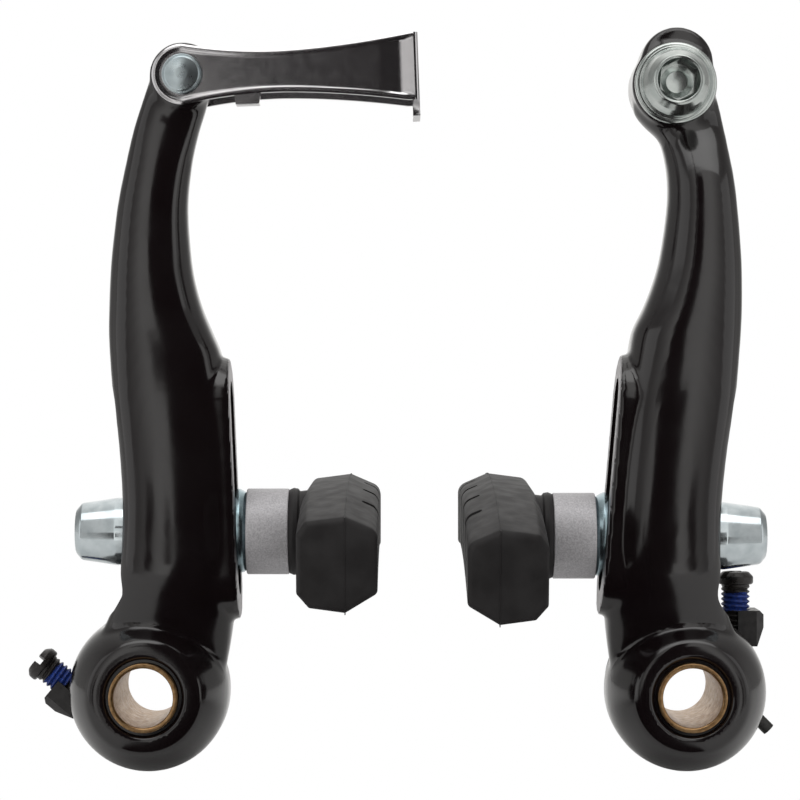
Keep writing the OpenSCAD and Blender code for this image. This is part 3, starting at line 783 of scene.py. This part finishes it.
def spring_path(side):
    """The short end with its bend, the coil round the bush, and the long leg up to the peg."""
    start = STUB_ANGLE + COLLAR_TURN[side]
    centre = at_angle(COIL_D / 2 + STUB_BEND, start)
    bend_steps, coil_steps = 10, 90
    bend = []
    for k in range(bend_steps + 1):
        a = start + 180 + STUB_SWEEP - STUB_SWEEP * k / bend_steps
        bend.append(centre + at_angle(STUB_BEND, a))
    out = bend[0] - STUB[side] * at_angle(1, start + 90 + STUB_SWEEP)
    path = [(p[0], COIL_Y0, p[1]) for p in [out] + bend]
    for k in range(1, coil_steps + 1):
        p = at_angle(COIL_D / 2, start + (360 - start) * k / coil_steps)
        path.append((p[0], COIL_Y0 + (COIL_Y1 - COIL_Y0) * k / coil_steps, p[1]))
    lean = radians(LEAN[side])
    top_x = (PEG_X + PEG_D / 2 + WIRE_D / 2 + 2 * SEAT) * cos(lean) + PEG_Z * sin(lean)
    for height in np.arange(1, LEG_TOP + 0.1):
        path.append((COIL_D / 2 + (top_x - COIL_D / 2) * height / PEG_Z, COIL_Y1, height))
    return path


def return_spring(side, mats):
    obj = tube(side + "_spring_skin", spring_path(side), WIRE_D / 2, side_frame(side))
    smooth(obj, 50)
    dress(obj, mats["wire"])
    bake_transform(obj)
    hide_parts(side + "_return_spring")


THREAD_PITCH = 0.7
THREAD_DEPTH = 0.36
THREAD_FADE = 0.8
SCREW_HEAD_H = 1.8
SLOT_TURN = {"left": 12, "right": 50}
PATCH_LOW = -3.7
PATCH_HIGH = -1.1
PATCH_RAGGED = 0.25
PATCH_GRAIN = 900


def thread_radius(h, share):
    """Radius of the screw at a height below its head and a share of a turn."""
    phase = (h / THREAD_PITCH - share) % 1
    fade = min(1, max(0, -h / THREAD_FADE)) * min(1, (h + SCREW_LEN) / THREAD_FADE)
    crest = abs(2 * phase - 1)
    r = SCREW_D / 2 - THREAD_DEPTH * fade * (1 - min(1, crest * 1.25))
    tip_bevel, tip_len = 0.35, 0.5
    return r - tip_bevel * max(0, 1 - (h + SCREW_LEN) / tip_len)


def screw_shank(place):
    """A cut thread that fades out at both ends, up to just inside the head."""
    rows, columns, top = 190, 32, 0.3
    rings = []
    for i in range(rows):
        h = -SCREW_LEN + (SCREW_LEN + top) * i / (rows - 1)
        ring = []
        for j, a in enumerate(ring_angles(columns)):
            r = thread_radius(h, j / columns)
            ring.append((r * cos(a), r * sin(a), h))
        rings.append(ring)
    return make("shank", *skin(rings), place)


def screw_head(side, place):
    """A pan head with a slot right across and a shorter, deeper one square to it."""
    r, h, shoulder = SCREW_HEAD_D / 2, SCREW_HEAD_H, 1.1
    corners = [(0, 0, 0), (r, 0, 0.35), (r, shoulder, 0.5), (r - 0.7, h, 0.6), (0, h, 0)]
    head = revolve("head", rounded(corners), place, segments=64)
    slot_floor, cross_floor, above = 0.85, 0.6, 3
    slot, cross = rectangle(-3, 3, -0.5, 0.5), rectangle(-1.5, 1.5, -0.4, 0.4)
    return cut(
        head,
        prism(slot, slot_floor, above, place @ turn(90 + SLOT_TURN[side], "Z")),
        prism(cross, cross_floor, above, place @ turn(SLOT_TURN[side], "Z")),
    )


def tension_screw(side, mats):
    """A pan head screw with a cut thread and a blue locking patch round it."""
    place = side_frame(side) @ turn(-COLLAR_TURN[side], "Y")
    place = place @ shift(-LUG_X, (COIL_Y0 + COIL_Y1) / 2, LUG_HIGH + SCREW_GAP[side])
    obj = join(side + "_screw_skin", screw_shank(place), screw_head(side, place))
    dress(obj, mats["screw"], mats["patch"])
    to_screw = (Matrix.Scale(MM, 4) @ place).inverted()
    for poly in obj.data.polygons:
        h = (to_screw @ poly.center).z
        if PATCH_LOW < h + PATCH_RAGGED * noise.noise(poly.center * PATCH_GRAIN) < PATCH_HIGH:
            poly.material_index = 1
    smooth(obj, 40)
    finish_piece(obj, side + "_tension_screw", side + "_tension_screw")


# Pad hardware

def on_post(side):
    return side_frame(side) @ shift(0, POST_Y, POST_Z[side])


def dome_profile(od):
    """A washer with a flat back and a ball face, as (radius, height) from the ball's centre."""
    low = ball_depth(od)
    inner, outer = WASHER_BORE / 2, od / 2
    arc = []
    steps, edge = 8, 0.12
    for k in range(steps + 1):
        r = outer + (inner - outer) * k / steps
        arc.append((r, sqrt(BALL_R**2 - r * r), edge if k in (0, steps) else 0))
    return rounded([(inner, low, 0.1), (outer, low, 0.15)] + arc, True)


def cup_profile(od, dome_od, length):
    """A ring with a ball shaped seat for a dome washer in one end."""
    inner, ledge = STUD_D / 2 + STUD_GAP, dome_od / 2 - CUP_LIP
    centre = -ball_depth(dome_od) - cup_rim(dome_od) - BALL_GAP
    radius = BALL_R + BALL_GAP
    seat = []
    steps, edge = 6, 0.2
    for k in range(steps + 1):
        r = inner + (ledge - inner) * k / steps
        seat.append((r, centre + sqrt(radius**2 - r * r), 0))
    rest = [(ledge, 0, 0), (od / 2, 0, edge), (od / 2, length, edge), (inner, length, edge)]
    return rounded(seat + rest, True)


def pad_hardware(side, mats):
    """The washers and the spacer on the stud, then the nut at its end."""
    places = post_places(side)
    post = on_post(side)
    back = turn(180, "Y")
    slant = turn(-(TRACK_TILT - LEAN[side]), "Y")
    at = {name: post @ shift(x, 0, 0) for name, x in places.items()}
    inner_dome = dome_profile(WASHER_OD)
    outer_dome = dome_profile(OUTER_WASHER_OD)
    spacer = cup_profile(SPACER_OD, WASHER_OD, SPACER_LEN)
    cup = cup_profile(OUTER_WASHER_OD, OUTER_WASHER_OD, CUP_LEN)
    pieces = [
        ("inner_dome_washer", inner_dome, at["inner"] @ slant @ ALONG_X, "zinc_plate", "washer"),
        ("outer_dome_washer", outer_dome, at["outer"] @ slant @ back @ ALONG_X, "zinc_plate", "washer"),
        ("spacer_cup", spacer, at["spacer"] @ ALONG_X, "blasted_silver", "silver"),
        ("outer_cup_washer", cup, at["cup"] @ back @ ALONG_X, "zinc_plate", "washer"),
    ]
    for name, profile, place, slot_name, mat in pieces:
        obj = smooth(revolve(side + "_" + name + "_skin", profile, place, True, 128), 30)
        finish_piece(obj, side + "_pad_holder", side + "_" + name, mats[mat])
    pad_nut(side, at["nut"] @ turn(-90, "Y"), mats)


def pad_nut(side, place, mats):
    """A long nut that narrows towards its tip, which is dished round a hexagon socket."""
    foot, tip, mouth = NUT_FOOT_D / 2, NUT_TIP_D / 2, HEX_AF / 2
    taper_from, rim, dish = 3.6, 0.75, 0.4
    corners = [
        (0, 0, 0), (foot, 0, 0.25), (foot, taper_from, 2.5), (tip + 0.12, NUT_LEN - rim, 0.6),
        (tip - rim, NUT_LEN, 0.3), (mouth + 0.45, NUT_LEN, 0.1),
        (mouth + 0.1, NUT_LEN - dish, 0), (0, NUT_LEN - dish, 0),
    ]
    obj = revolve(side + "_nut_skin", rounded(corners, steps=8), place, segments=128)
    socket = rod(HEX_AF / sqrt(3), NUT_LEN - SOCKET_DEPTH, NUT_LEN + PAST, place, 6)
    thread = rod(STUD_D / 2 + SEAT, -1, NUT_LEN - SOCKET_DEPTH + 0.01, place)
    smooth(cut(obj, socket, thread), 30)
    finish_piece(obj, side + "_pad_holder", side + "_pad_nut", mats["nut"])


# Brake pads

PARTING = 0.6 * PAD_T
RIM_FACE_RISE = 0.4
# Section of the pad: distance from its back, height, and rounding
PAD_CORNERS = [
    (0, -0.3 * PAD_H, 0.5), (1.6, 0.65 - PAD_H / 2, 0.5), (PARTING, -PAD_H / 2, 0.12),
    (PAD_T, RIM_FACE_RISE - RIM_FACE_H / 2, 0.8), (PAD_T, RIM_FACE_RISE + RIM_FACE_H / 2, 1.6),
    (PARTING, PAD_H / 2, 0.12), (1.2, PAD_H / 2 - 0.65, 0.8), (0, 0.31 * PAD_H, 0.5),
]
PAD_HALF_TURN = asin(PAD_LEN / 2 / PAD_BEND)


def bend_point(along, across, up):
    """A point of the bent pad: share of the half length, distance from the back, height."""
    a = along * PAD_HALF_TURN
    radius = PAD_BEND + up
    return (across, radius * sin(a), PAD_RISE - PAD_BEND + radius * cos(a))


def pad_bar(place):
    """The bent bar, whose section draws in along a quarter circle at both ends."""
    rounding, steps, half = 0.9, 7, PAD_LEN / 2
    stations = []
    for k in range(steps + 1):
        a = pi / 2 * k / steps
        stations.append((-1 + rounding * (1 - cos(a)) / half, rounding * (1 - sin(a))))
    first = stations[-1][0]
    far_end = [(-along, inset) for along, inset in reversed(stations)]
    stations += [(along, 0) for along in np.linspace(first, -first, 81)[1:-1]] + far_end
    middle = PAD_T / 2
    outline = rounded(PAD_CORNERS, True, 6)
    rings = []
    for along, inset in stations:
        ring = []
        for x, z in outline:
            away = Vector((x - middle, z))
            away -= away.normalized() * inset
            ring.append(bend_point(along, away.x + middle, away.y))
        rings.append(ring)
    return make("bar", *skin(rings), place)


def pad_flash(place):
    """The thin line of flash where the two halves of the mould met."""
    half = PAD_H / 2
    route = [(along, half) for along in np.linspace(-1, 1, 90)]
    route += [(1, up) for up in np.linspace(half, -half, 24)[1:-1]]
    route += [(along, -half) for along in np.linspace(1, -1, 90)]
    route += [(-1, up) for up in np.linspace(-half, half, 24)[1:-1]]
    path = [bend_point(along, PARTING, up) for along, up in route]
    count, sides = len(path), 6
    thin, swell, grain, flat = 0.085, 0.05, 1.7, 0.8
    verts = []
    for i, point in enumerate(path):
        ahead = (Vector(path[(i + 1) % count]) - Vector(path[i - 1])).normalized()
        u = Vector((1, 0, 0))
        v = ahead.cross(u)
        r = thin + swell * max(0, noise.noise(Vector(point) * grain))
        for a in ring_angles(sides):
            verts.append(Vector(point) + r * (flat * cos(a) * u + sin(a) * v))
    return make("flash", verts, grid_faces(count, sides, wrap_rows=True), place)


def pad_groove(place, k):
    """One groove across the rim face, a little wider at its mouth."""
    floor = PAD_COLLAR_LEN + PAD_T - GROOVE_DEPTH
    mouth = floor + 6
    y = (k - (GROOVES - 1) / 2) * GROOVE_PITCH
    half, flare = GROOVE_W / 2, 0.25
    corners = [
        (floor, y - half, 0.5), (floor, y + half, 0.5),
        (mouth, y + half + flare, 0), (mouth, y - half - flare, 0),
    ]
    return prism(rounded(corners, True), -PAD_H, PAD_H, place)


def pad_collar(place):
    """The moulded ring on the pad's back, with a groove behind its rim."""
    r, face, root = PAD_COLLAR_OD / 2, -0.02, 2.6
    corners = [
        (0, face, 0), (r - 0.25, face, 0.2), (r, 0.6, 0.3), (r - 0.1, 1.2, 0.2),
        (r - 0.45, 1.45, 0.2), (r - 0.3, root, 0), (0, root, 0),
    ]
    return revolve("collar", rounded(corners), place @ ALONG_X)


def brake_pad(side, mats):
    start = post_places(side)["pad"]
    place = on_post(side) @ shift(start, 0, 0) @ turn(NOSE[side], "X")
    bar_place = place @ shift(PAD_COLLAR_LEN, 0, 0)
    bar = cut(pad_bar(bar_place), *[pad_groove(place, k) for k in range(GROOVES)])
    obj = join(side + "_pad_skin", bar, pad_collar(place), pad_flash(bar_place))
    smooth(obj, 32)
    finish_piece(obj, side + "_pad", side + "_brake_pad", mats["rubber"])


# Link, rivet and cable anchor

# The link's folds, and the field inside a raised border on its outer faces
SHEET_FOLD = 0.6
FOLD_X = LINK_LEN - SHEET_FOLD
BORDER_W = 0.55
FIELD_SLOPE_W = 0.35
FIELD_DEPTH = 0.16
# Depth of the field by distance from the fold: level with it, a dip, then even
FIELD_RUN = (0, 2, 4.6)
FIELD_DEPTHS = (0, 2.1 * FIELD_DEPTH, FIELD_DEPTH)
EDGE_ROUND_W = 0.5
EDGE_ROUND_H = 0.2


def plate_half(x):
    if x < WAIST_X:
        return WAIST_H / 2 + (EYE_R - WAIST_H / 2) * (1 - x / WAIST_X) ** 2
    return WAIST_H / 2 + (FLARE_H - WAIST_H) / 2 * ((x - WAIST_X) / (FLARE_X - WAIST_X)) ** 1.7


def plate_edge_distance(x, z):
    """Distance of a point of the plate from the nearest long edge or from the eye's rim."""
    if x < 0:
        return EYE_R - hypot(x, z)
    return plate_half(x) - abs(z)


def sheet_half(x):
    """Half the height of the strip, which stays even from the end of the flare on."""
    if x < 0:
        return sqrt(max(EYE_R**2 - x * x, 0.01))
    return plate_half(min(x, FLARE_X))


def fold_station(degrees, y, way):
    """A station in a fold: y is the outer face of its plate, way is -1 in front and 1 behind."""
    c, s = cos(radians(degrees)), sin(radians(degrees))
    drop = WALL_DROP * max(0, (degrees - 60) / 30)
    place = (FOLD_X + SHEET_FOLD * s, y - way * SHEET_FOLD * (1 - c))
    return (*place, (s, way * c), FLARE_H / 2, drop, False)


def sheet_stations():
    """The strip's outer face from the front eye round the end wall to the back eye.

    A station is x, y, the way out, half the height, how far the lower edge drops, and whether it is
    part of a plate.
    """
    eye = -EYE_R * np.cos(np.linspace(0.02, pi / 2, 22))
    run = np.concatenate([eye, np.linspace(0.25, FOLD_X - 0.1, 110), [FOLD_X - 0.04, FOLD_X]])
    turns = np.linspace(0, 90, 19)[1:-1]
    depths = np.linspace(LINK_FRONT + SHEET_FOLD, LINK_BACK - SHEET_FOLD, 14)
    front = [(x, LINK_FRONT, (0, -1), sheet_half(x), 0, True) for x in run]
    front += [fold_station(a, LINK_FRONT, -1) for a in turns]
    wall = [(LINK_LEN, y, (1, 0), FLARE_H / 2, WALL_DROP, False) for y in depths]
    back = [(x, LINK_BACK, (0, 1), sheet_half(x), 0, True) for x in run]
    back += [fold_station(a, LINK_BACK, 1) for a in turns]
    return front + wall + back[::-1]


def field_dip(x, z):
    """How far a point of a plate's outer face lies under the top of the border."""
    edge = plate_edge_distance(x, z)
    t = min(1, max(0, (edge - BORDER_W) / FIELD_SLOPE_W))
    depth = np.interp(FOLD_X - x, FIELD_RUN, FIELD_DEPTHS)
    rounding = EDGE_ROUND_H * max(0, 1 - max(0, edge) / EDGE_ROUND_W) ** 2
    return depth * t * t * (3 - 2 * t) + rounding


def sheet_faces(count, rows):
    """Faces of a strip whose stations each hold a row of outer and a row of inner points."""
    faces = []
    for i in range(count - 1):
        a = i * 2 * rows
        b = a + 2 * rows
        for j in range(rows - 1):
            faces.append((a + j, b + j, b + j + 1, a + j + 1))
            faces.append((a + j + rows, a + j + 1 + rows, b + j + 1 + rows, b + j + rows))
        for j in (0, rows - 1):
            faces.append((a + j, a + j + rows, b + j + rows, b + j))
    for i in (0, count - 1):
        a = i * 2 * rows
        for j in range(rows - 1):
            faces.append((a + j, a + j + 1, a + j + 1 + rows, a + j + rows))
    return faces


def link_sheet(place):
    """The folded strip: front plate, end wall and back plate, as one sheet with a raised border."""
    rows = 35
    stations = sheet_stations()
    verts = []
    for x, y, out, half, drop, in_plate in stations:
        for outer in (True, False):
            for j in range(rows):
                v = sin(pi * (j / (rows - 1) - 0.5))
                z = half * v + drop * min(0, v)
                dip = field_dip(x, z) if in_plate and outer else 0
                depth = dip + (0 if outer else SHEET_T)
                verts.append((x - out[0] * depth, y - out[1] * depth, z))
    sheet = make("sheet", verts, sheet_faces(len(stations), rows), place)
    bevel = sheet.modifiers.new("edges", "BEVEL")
    bevel.width = 0.14 * MM
    bevel.segments = 3
    bevel.limit_method = "ANGLE"
    bevel.angle_limit = radians(40)
    return apply(sheet)


def link_cutters(place):
    """The eye's hole, the hole for the end of the noodle, and the cable's slot above it."""
    eye = rod(RIVET_D / 2 + ARM_CLEARANCE, LINK_FRONT - 3, LINK_BACK + 3, place @ ALONG_Y)
    inside, outside = LINK_LEN - 3, LINK_LEN + PAST
    seat = rod(NOODLE_D / 2, inside, outside, place @ shift(0, HEAD_Y, 0) @ ALONG_X)
    half = CABLE_SLOT_W / 2
    slot = rectangle(inside, outside, HEAD_Y - half, HEAD_Y + half)
    return [eye, seat, prism(slot, 0, FLARE_H, place)]


def link_tab(place):
    """The tab that hangs from the front plate, and the foot that turns back from its end."""
    left, right, low, root = 7.2, 10.4, -4.4, -1.9
    corners = [(left, low, 0.25), (right, low, 0.25), (right + 0.5, root, 0), (left - 0.3, root, 0)]
    face = -LINK_FRONT - 0.28
    tab = prism(rounded(corners, True), -LINK_FRONT - SHEET_T, face, place @ turn(90, "X"))
    foot = rectangle(left, right, LINK_FRONT + 0.15, LINK_FRONT + 3.4)
    return [tab, prism(foot, low, low + SHEET_T, place)]


def noodle_link(mats):
    place = lever_frame("left") @ RIVET @ turn(-LEAN["left"] - LINK_RISE, "Y")
    sheet = cut(link_sheet(place), *link_cutters(place))
    obj = join("link_skin", sheet, *link_tab(place))
    smooth(obj, 40)
    finish_piece(obj, "noodle_link", "noodle_link", mats["link"])


def link_rivet(mats):
    """A low dome with a thin rim in front, a plain shank, and a flat head behind."""
    place = lever_frame("left") @ RIVET @ ALONG_Y
    front, back = LINK_FRONT - SEAT, LINK_BACK + SEAT
    head, shank, tail = RIVET_HEAD_D / 2, RIVET_D / 2, back + 0.75
    corners = [
        (0, front - 1.1, 0), (head - 1.9, front - 1.06, 2), (head - 0.5, front - 0.82, 0.3),
        (head - 0.34, front - 0.6, 0.08), (head - 0.1, front - 0.62, 0.15), (head, front, 0.15),
        (shank, front, 0), (shank, back, 0), (head, back, 0.05), (head, tail, 0.3), (0, tail, 0),
    ]
    obj = revolve("rivet_skin", rounded(corners), place)
    finish_piece(smooth(obj, 40), "left_arm", "link_rivet", mats["rivet"])


def anchor_washer(place, low, mats):
    inner, outer, top = BOLT_D / 2 + STUD_GAP, ANCHOR_WASHER_OD / 2, low + ANCHOR_WASHER_T
    corners = [(inner, low, 0.1), (outer, low, 0.3), (outer, top, 0.45), (inner, top, 0.1)]
    washer = revolve("anchor_washer_skin", rounded(corners, True), place, True, 128)
    finish_piece(smooth(washer, 30), "cable_clamp", "cable_anchor_washer", mats["bolt"])


def anchor_bolt(place, mats):
    """A domed head on a thin flange, with a hexagon socket and a drilled floor."""
    thread, tip, bevel = BOLT_D / 2, -BOLT_LEN, 0.5
    r, h, socket, dish = BOLT_HEAD_D / 2, BOLT_HEAD_H, HEX_AF / 2 + 0.45, BOLT_HEAD_H - 0.75
    corners = [
        (0, tip, 0), (thread - bevel, tip, 0), (thread, tip + bevel, 0.1), (thread, 0, 0),
        (r, 0, 0.12), (r, 0.45, 0.18), (r - 0.35, 0.5, 0.05), (r - 0.42, 0.85, 0.12),
        (r - 0.95, h - 1.5, 1.2), (socket + 0.55, h - 0.25, 0.4), (socket + 0.3, h, 0.15),
        (socket, h - 0.1, 0.15), (socket - 0.45, dish, 0.05), (0, dish, 0),
    ]
    bolt = revolve("anchor_bolt_skin", rounded(corners, steps=6), place, segments=128)
    floor, socket_turn = 1.3, 34
    hexagon = rod(HEX_AF / sqrt(3), floor, h + PAST, place @ turn(socket_turn, "Z"), 6)
    drilled = [(0, 0.3), (1.45, 0.45), (1.55, 0.85), (2.4, floor + 0.1), (0, floor + 0.1)]
    smooth(cut(bolt, hexagon, revolve("drill", drilled, place)), 30)
    finish_piece(bolt, "cable_clamp", "cable_anchor_bolt", mats["bolt"])


def cable_anchor(mats):
    place = lever_frame("right") @ ANCHOR @ turn(90, "X")
    low = -ANCHOR_FACE + SEAT
    anchor_washer(place, low, mats)
    anchor_bolt(place @ shift(0, 0, low + ANCHOR_WASHER_T + SEAT), mats)


# Stage

CAMERA_AT = (34.72, -380, 40.3)
LENS = 123.1
SENSOR_W = 36
# Soft boxes: place, target, width, height and power
SOFT_BOXES = {
    "left box": ((-550, -300, 120), (0, 0, 40), 450, 700, 0.55),
    "right box": ((620, -300, 120), (75, 0, 40), 450, 700, 0.55),
    "top box": ((35, -250, 600), (35, 0, 30), 800, 350, 1.2),
}
# The white of the tent by how far a direction points to the side
TENT_STOPS = ((0, 1), (0.24, 1), (0.42, 0.55), (0.58, 0.36), (0.74, 0.3), (0.92, 0.4), (1, 0.65))
TENT_LIGHT = 1.15
# The dark camera and its stand, then black cards beside it: left, right, bottom, top
CARD_Y = -385
CARDS = [
    (-25, 95, -420, 420),
    (95, 130, -420, 115),
    (-70, -42, -100, 0),
    (130, 145, -100, 0),
    (-75, -25, 116, 160),
    (-175, -130, -150, 8),
    (199, 245, -150, 8),
]
# A card low in front of the brake: left, right, front, back
LOW_CARD = (-6, 78, CARD_Y, -15)
LOW_CARD_Z = -12.8
# Plan of the card that the left arm sees and the right arm sees edge on, and its bottom and top
OBLIQUE_CARD = ((66.8, -29.3), (-5.6, -300))
OBLIQUE_CARD_Z = (-60, 200)


def in_metres(point):
    return Vector([v * MM for v in point])


def camera():
    data = bpy.data.cameras.new("camera")
    data.lens = LENS
    data.sensor_width = SENSOR_W
    data.clip_start = 0.01
    data.clip_end = 20
    cam = add_object("camera", data)
    cam.location = in_metres(CAMERA_AT)
    cam.rotation_euler = (pi / 2, 0, 0)
    bpy.context.scene.camera = cam


def soft_box(name, place, target, width, height, power):
    data = bpy.data.lights.new(name, "AREA")
    data.shape = "RECTANGLE"
    data.size, data.size_y = width * MM, height * MM
    data.energy = power
    lamp = add_object(name, data)
    lamp.location = in_metres(place)
    aim = in_metres(target) - in_metres(place)
    lamp.rotation_euler = aim.to_track_quat("-Z", "Y").to_euler()


def tent_ramp(tree):
    """The tent's colour, by how far a direction points to the side."""
    direction = tree.nodes.new("ShaderNodeTexCoord")
    parts = tree.nodes.new("ShaderNodeSeparateXYZ")
    sideways = tree.nodes.new("ShaderNodeMath")
    sideways.operation = "ABSOLUTE"
    ramp = tree.nodes.new("ShaderNodeValToRGB")
    connect(direction, "Generated", parts, "Vector")
    connect(parts, "X", sideways, 0)
    connect(sideways, "Value", ramp, "Fac")
    points = ramp.color_ramp.elements
    while len(points) < len(TENT_STOPS):
        points.new(0.5)
    for point, (spot, value) in zip(points, TENT_STOPS):
        point.position = spot
        point.color = (value, 0.99 * value, 0.97 * value, 1)
    return ramp


def white_surround():
    """A white light tent, dimmer at its corners. Only the camera sees it at full white."""
    world = bpy.data.worlds.new("world")
    bpy.context.scene.world = world
    world.use_nodes = True
    tree = world.node_tree
    tree.nodes.clear()
    out = tree.nodes.new("ShaderNodeOutputWorld")
    rays = tree.nodes.new("ShaderNodeLightPath")
    seen = tree.nodes.new("ShaderNodeBackground")
    seen.inputs["Strength"].default_value = 1
    seen.inputs["Color"].default_value = (1, 1, 1, 1)
    tent = tree.nodes.new("ShaderNodeBackground")
    tent.inputs["Strength"].default_value = TENT_LIGHT
    connect(tent_ramp(tree), "Color", tent, "Color")
    mix = tree.nodes.new("ShaderNodeMixShader")
    connect(rays, "Is Camera Ray", mix, "Fac")
    connect(tent, "Background", mix, 1)
    connect(seen, "Background", mix, 2)
    connect(mix, "Shader", out, "Surface")


def card_outlines():
    """Corners of each dark card."""
    outlines = [[(x, CARD_Y, z) for x, z in rectangle(*sides)] for sides in CARDS]
    outlines.append([(x, y, LOW_CARD_Z) for x, y in rectangle(*LOW_CARD)])
    near, far = OBLIQUE_CARD
    low, high = OBLIQUE_CARD_Z
    outlines.append([(*near, low), (*far, low), (*far, high), (*near, high)])
    return outlines


def dark_cards():
    """The dark camera with its stand and black cards, which only shiny surfaces see."""
    mat = material("dark cloth", (0.012, 0.009, 0.010), 0, 1, Specular_IOR_Level=0)
    vary(mat, "Base Color", 60, (0.010, 0.008, 0.009), (0.016, 0.012, 0.013))
    for k, corners in enumerate(card_outlines()):
        obj = make("dark_card_" + str(k), corners, [(0, 1, 2, 3)])
        dress(obj, mat)
        obj.visible_camera = False
        obj.visible_diffuse = False
        obj.visible_transmission = False
        obj.visible_shadow = False


def floor():
    """A pale floor under the brake that is white to the camera and keeps its shadow."""
    far, front, z = 3000, -70, -13
    verts = [(x, y, z) for x, y in rectangle(-far, far, front, far)]
    obj = make("floor", verts, [(0, 1, 2, 3)])
    mat = material("pale floor", (0.86, 0.86, 0.86), 0, 0.9)
    vary(mat, "Roughness", 40, 0.85, 0.95)
    tree = mat.node_tree
    rays = tree.nodes.new("ShaderNodeLightPath")
    glow = tree.nodes.new("ShaderNodeEmission")
    glow.inputs["Strength"].default_value = 1
    blend = tree.nodes.new("ShaderNodeMixShader")
    connect(rays, "Is Camera Ray", blend, "Fac")
    connect(tree.nodes["Principled BSDF"], "BSDF", blend, 1)
    connect(glow, "Emission", blend, 2)
    connect(blend, "Shader", tree.nodes["Material Output"], "Surface")
    dress(obj, mat)


def studio():
    view = bpy.context.scene.view_settings
    view.view_transform = "Standard"
    white_surround()
    floor()
    dark_cards()
    for name, setting in SOFT_BOXES.items():
        soft_box(name, *setting)


def all_materials():
    return {
        "paint": arm_paint(),
        "track": bare_track(),
        "brass": brass(),
        "rubber": rubber(),
        "silver": blasted_silver(),
        "washer": zinc("blue zinc", (0.24, 0.33, 0.36), (0.38, 0.48, 0.52), 0.22),
        "nut": zinc("bright zinc", (0.44, 0.49, 0.51), (0.56, 0.61, 0.63), 0.13),
        "bolt": zinc("grey zinc", (0.42, 0.455, 0.44), (0.54, 0.57, 0.55), 0.2),
        "rivet": zinc("pale zinc", (0.40, 0.465, 0.49), (0.54, 0.61, 0.63), 0.28),
        "link": bright_plate(),
        "collar": black_steel("black collar", (0.012, 0.011, 0.011), 0.38),
        "screw": black_steel("black screw", (0.012, 0.010, 0.009), 0.34),
        "wire": black_steel("black spring wire", (0.014, 0.014, 0.013), 0.36),
        "patch": locking_patch(),
        "steel": plain_steel(),
    }


def dress_nodes(frame, mats):
    """Better materials for the CAD nodes that stay in sight."""
    kept = {
        "_spring_collar": "collar",
        "_anchor_pin": "steel",
        "_spring_peg": "steel",
        "_pad_stud": "nut",
    }
    for side in SIDES:
        for ending, mat in kept.items():
            dress(frame["nodes"][side + ending], mats[mat])


camera()
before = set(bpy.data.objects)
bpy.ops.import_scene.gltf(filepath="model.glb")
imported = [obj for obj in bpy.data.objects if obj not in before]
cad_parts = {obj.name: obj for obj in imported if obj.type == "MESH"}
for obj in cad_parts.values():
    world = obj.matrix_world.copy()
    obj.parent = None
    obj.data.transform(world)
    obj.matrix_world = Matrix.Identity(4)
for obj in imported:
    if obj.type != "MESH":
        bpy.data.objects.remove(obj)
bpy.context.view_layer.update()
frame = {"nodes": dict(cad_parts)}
studio()
mats = all_materials()
dress_nodes(frame, mats)
for side in SIDES:
    arm(side, mats)
    pivot_bush(side, mats)
    return_spring(side, mats)
    tension_screw(side, mats)
    pad_hardware(side, mats)
    brake_pad(side, mats)
noodle_link(mats)
link_rivet(mats)
cable_anchor(mats)
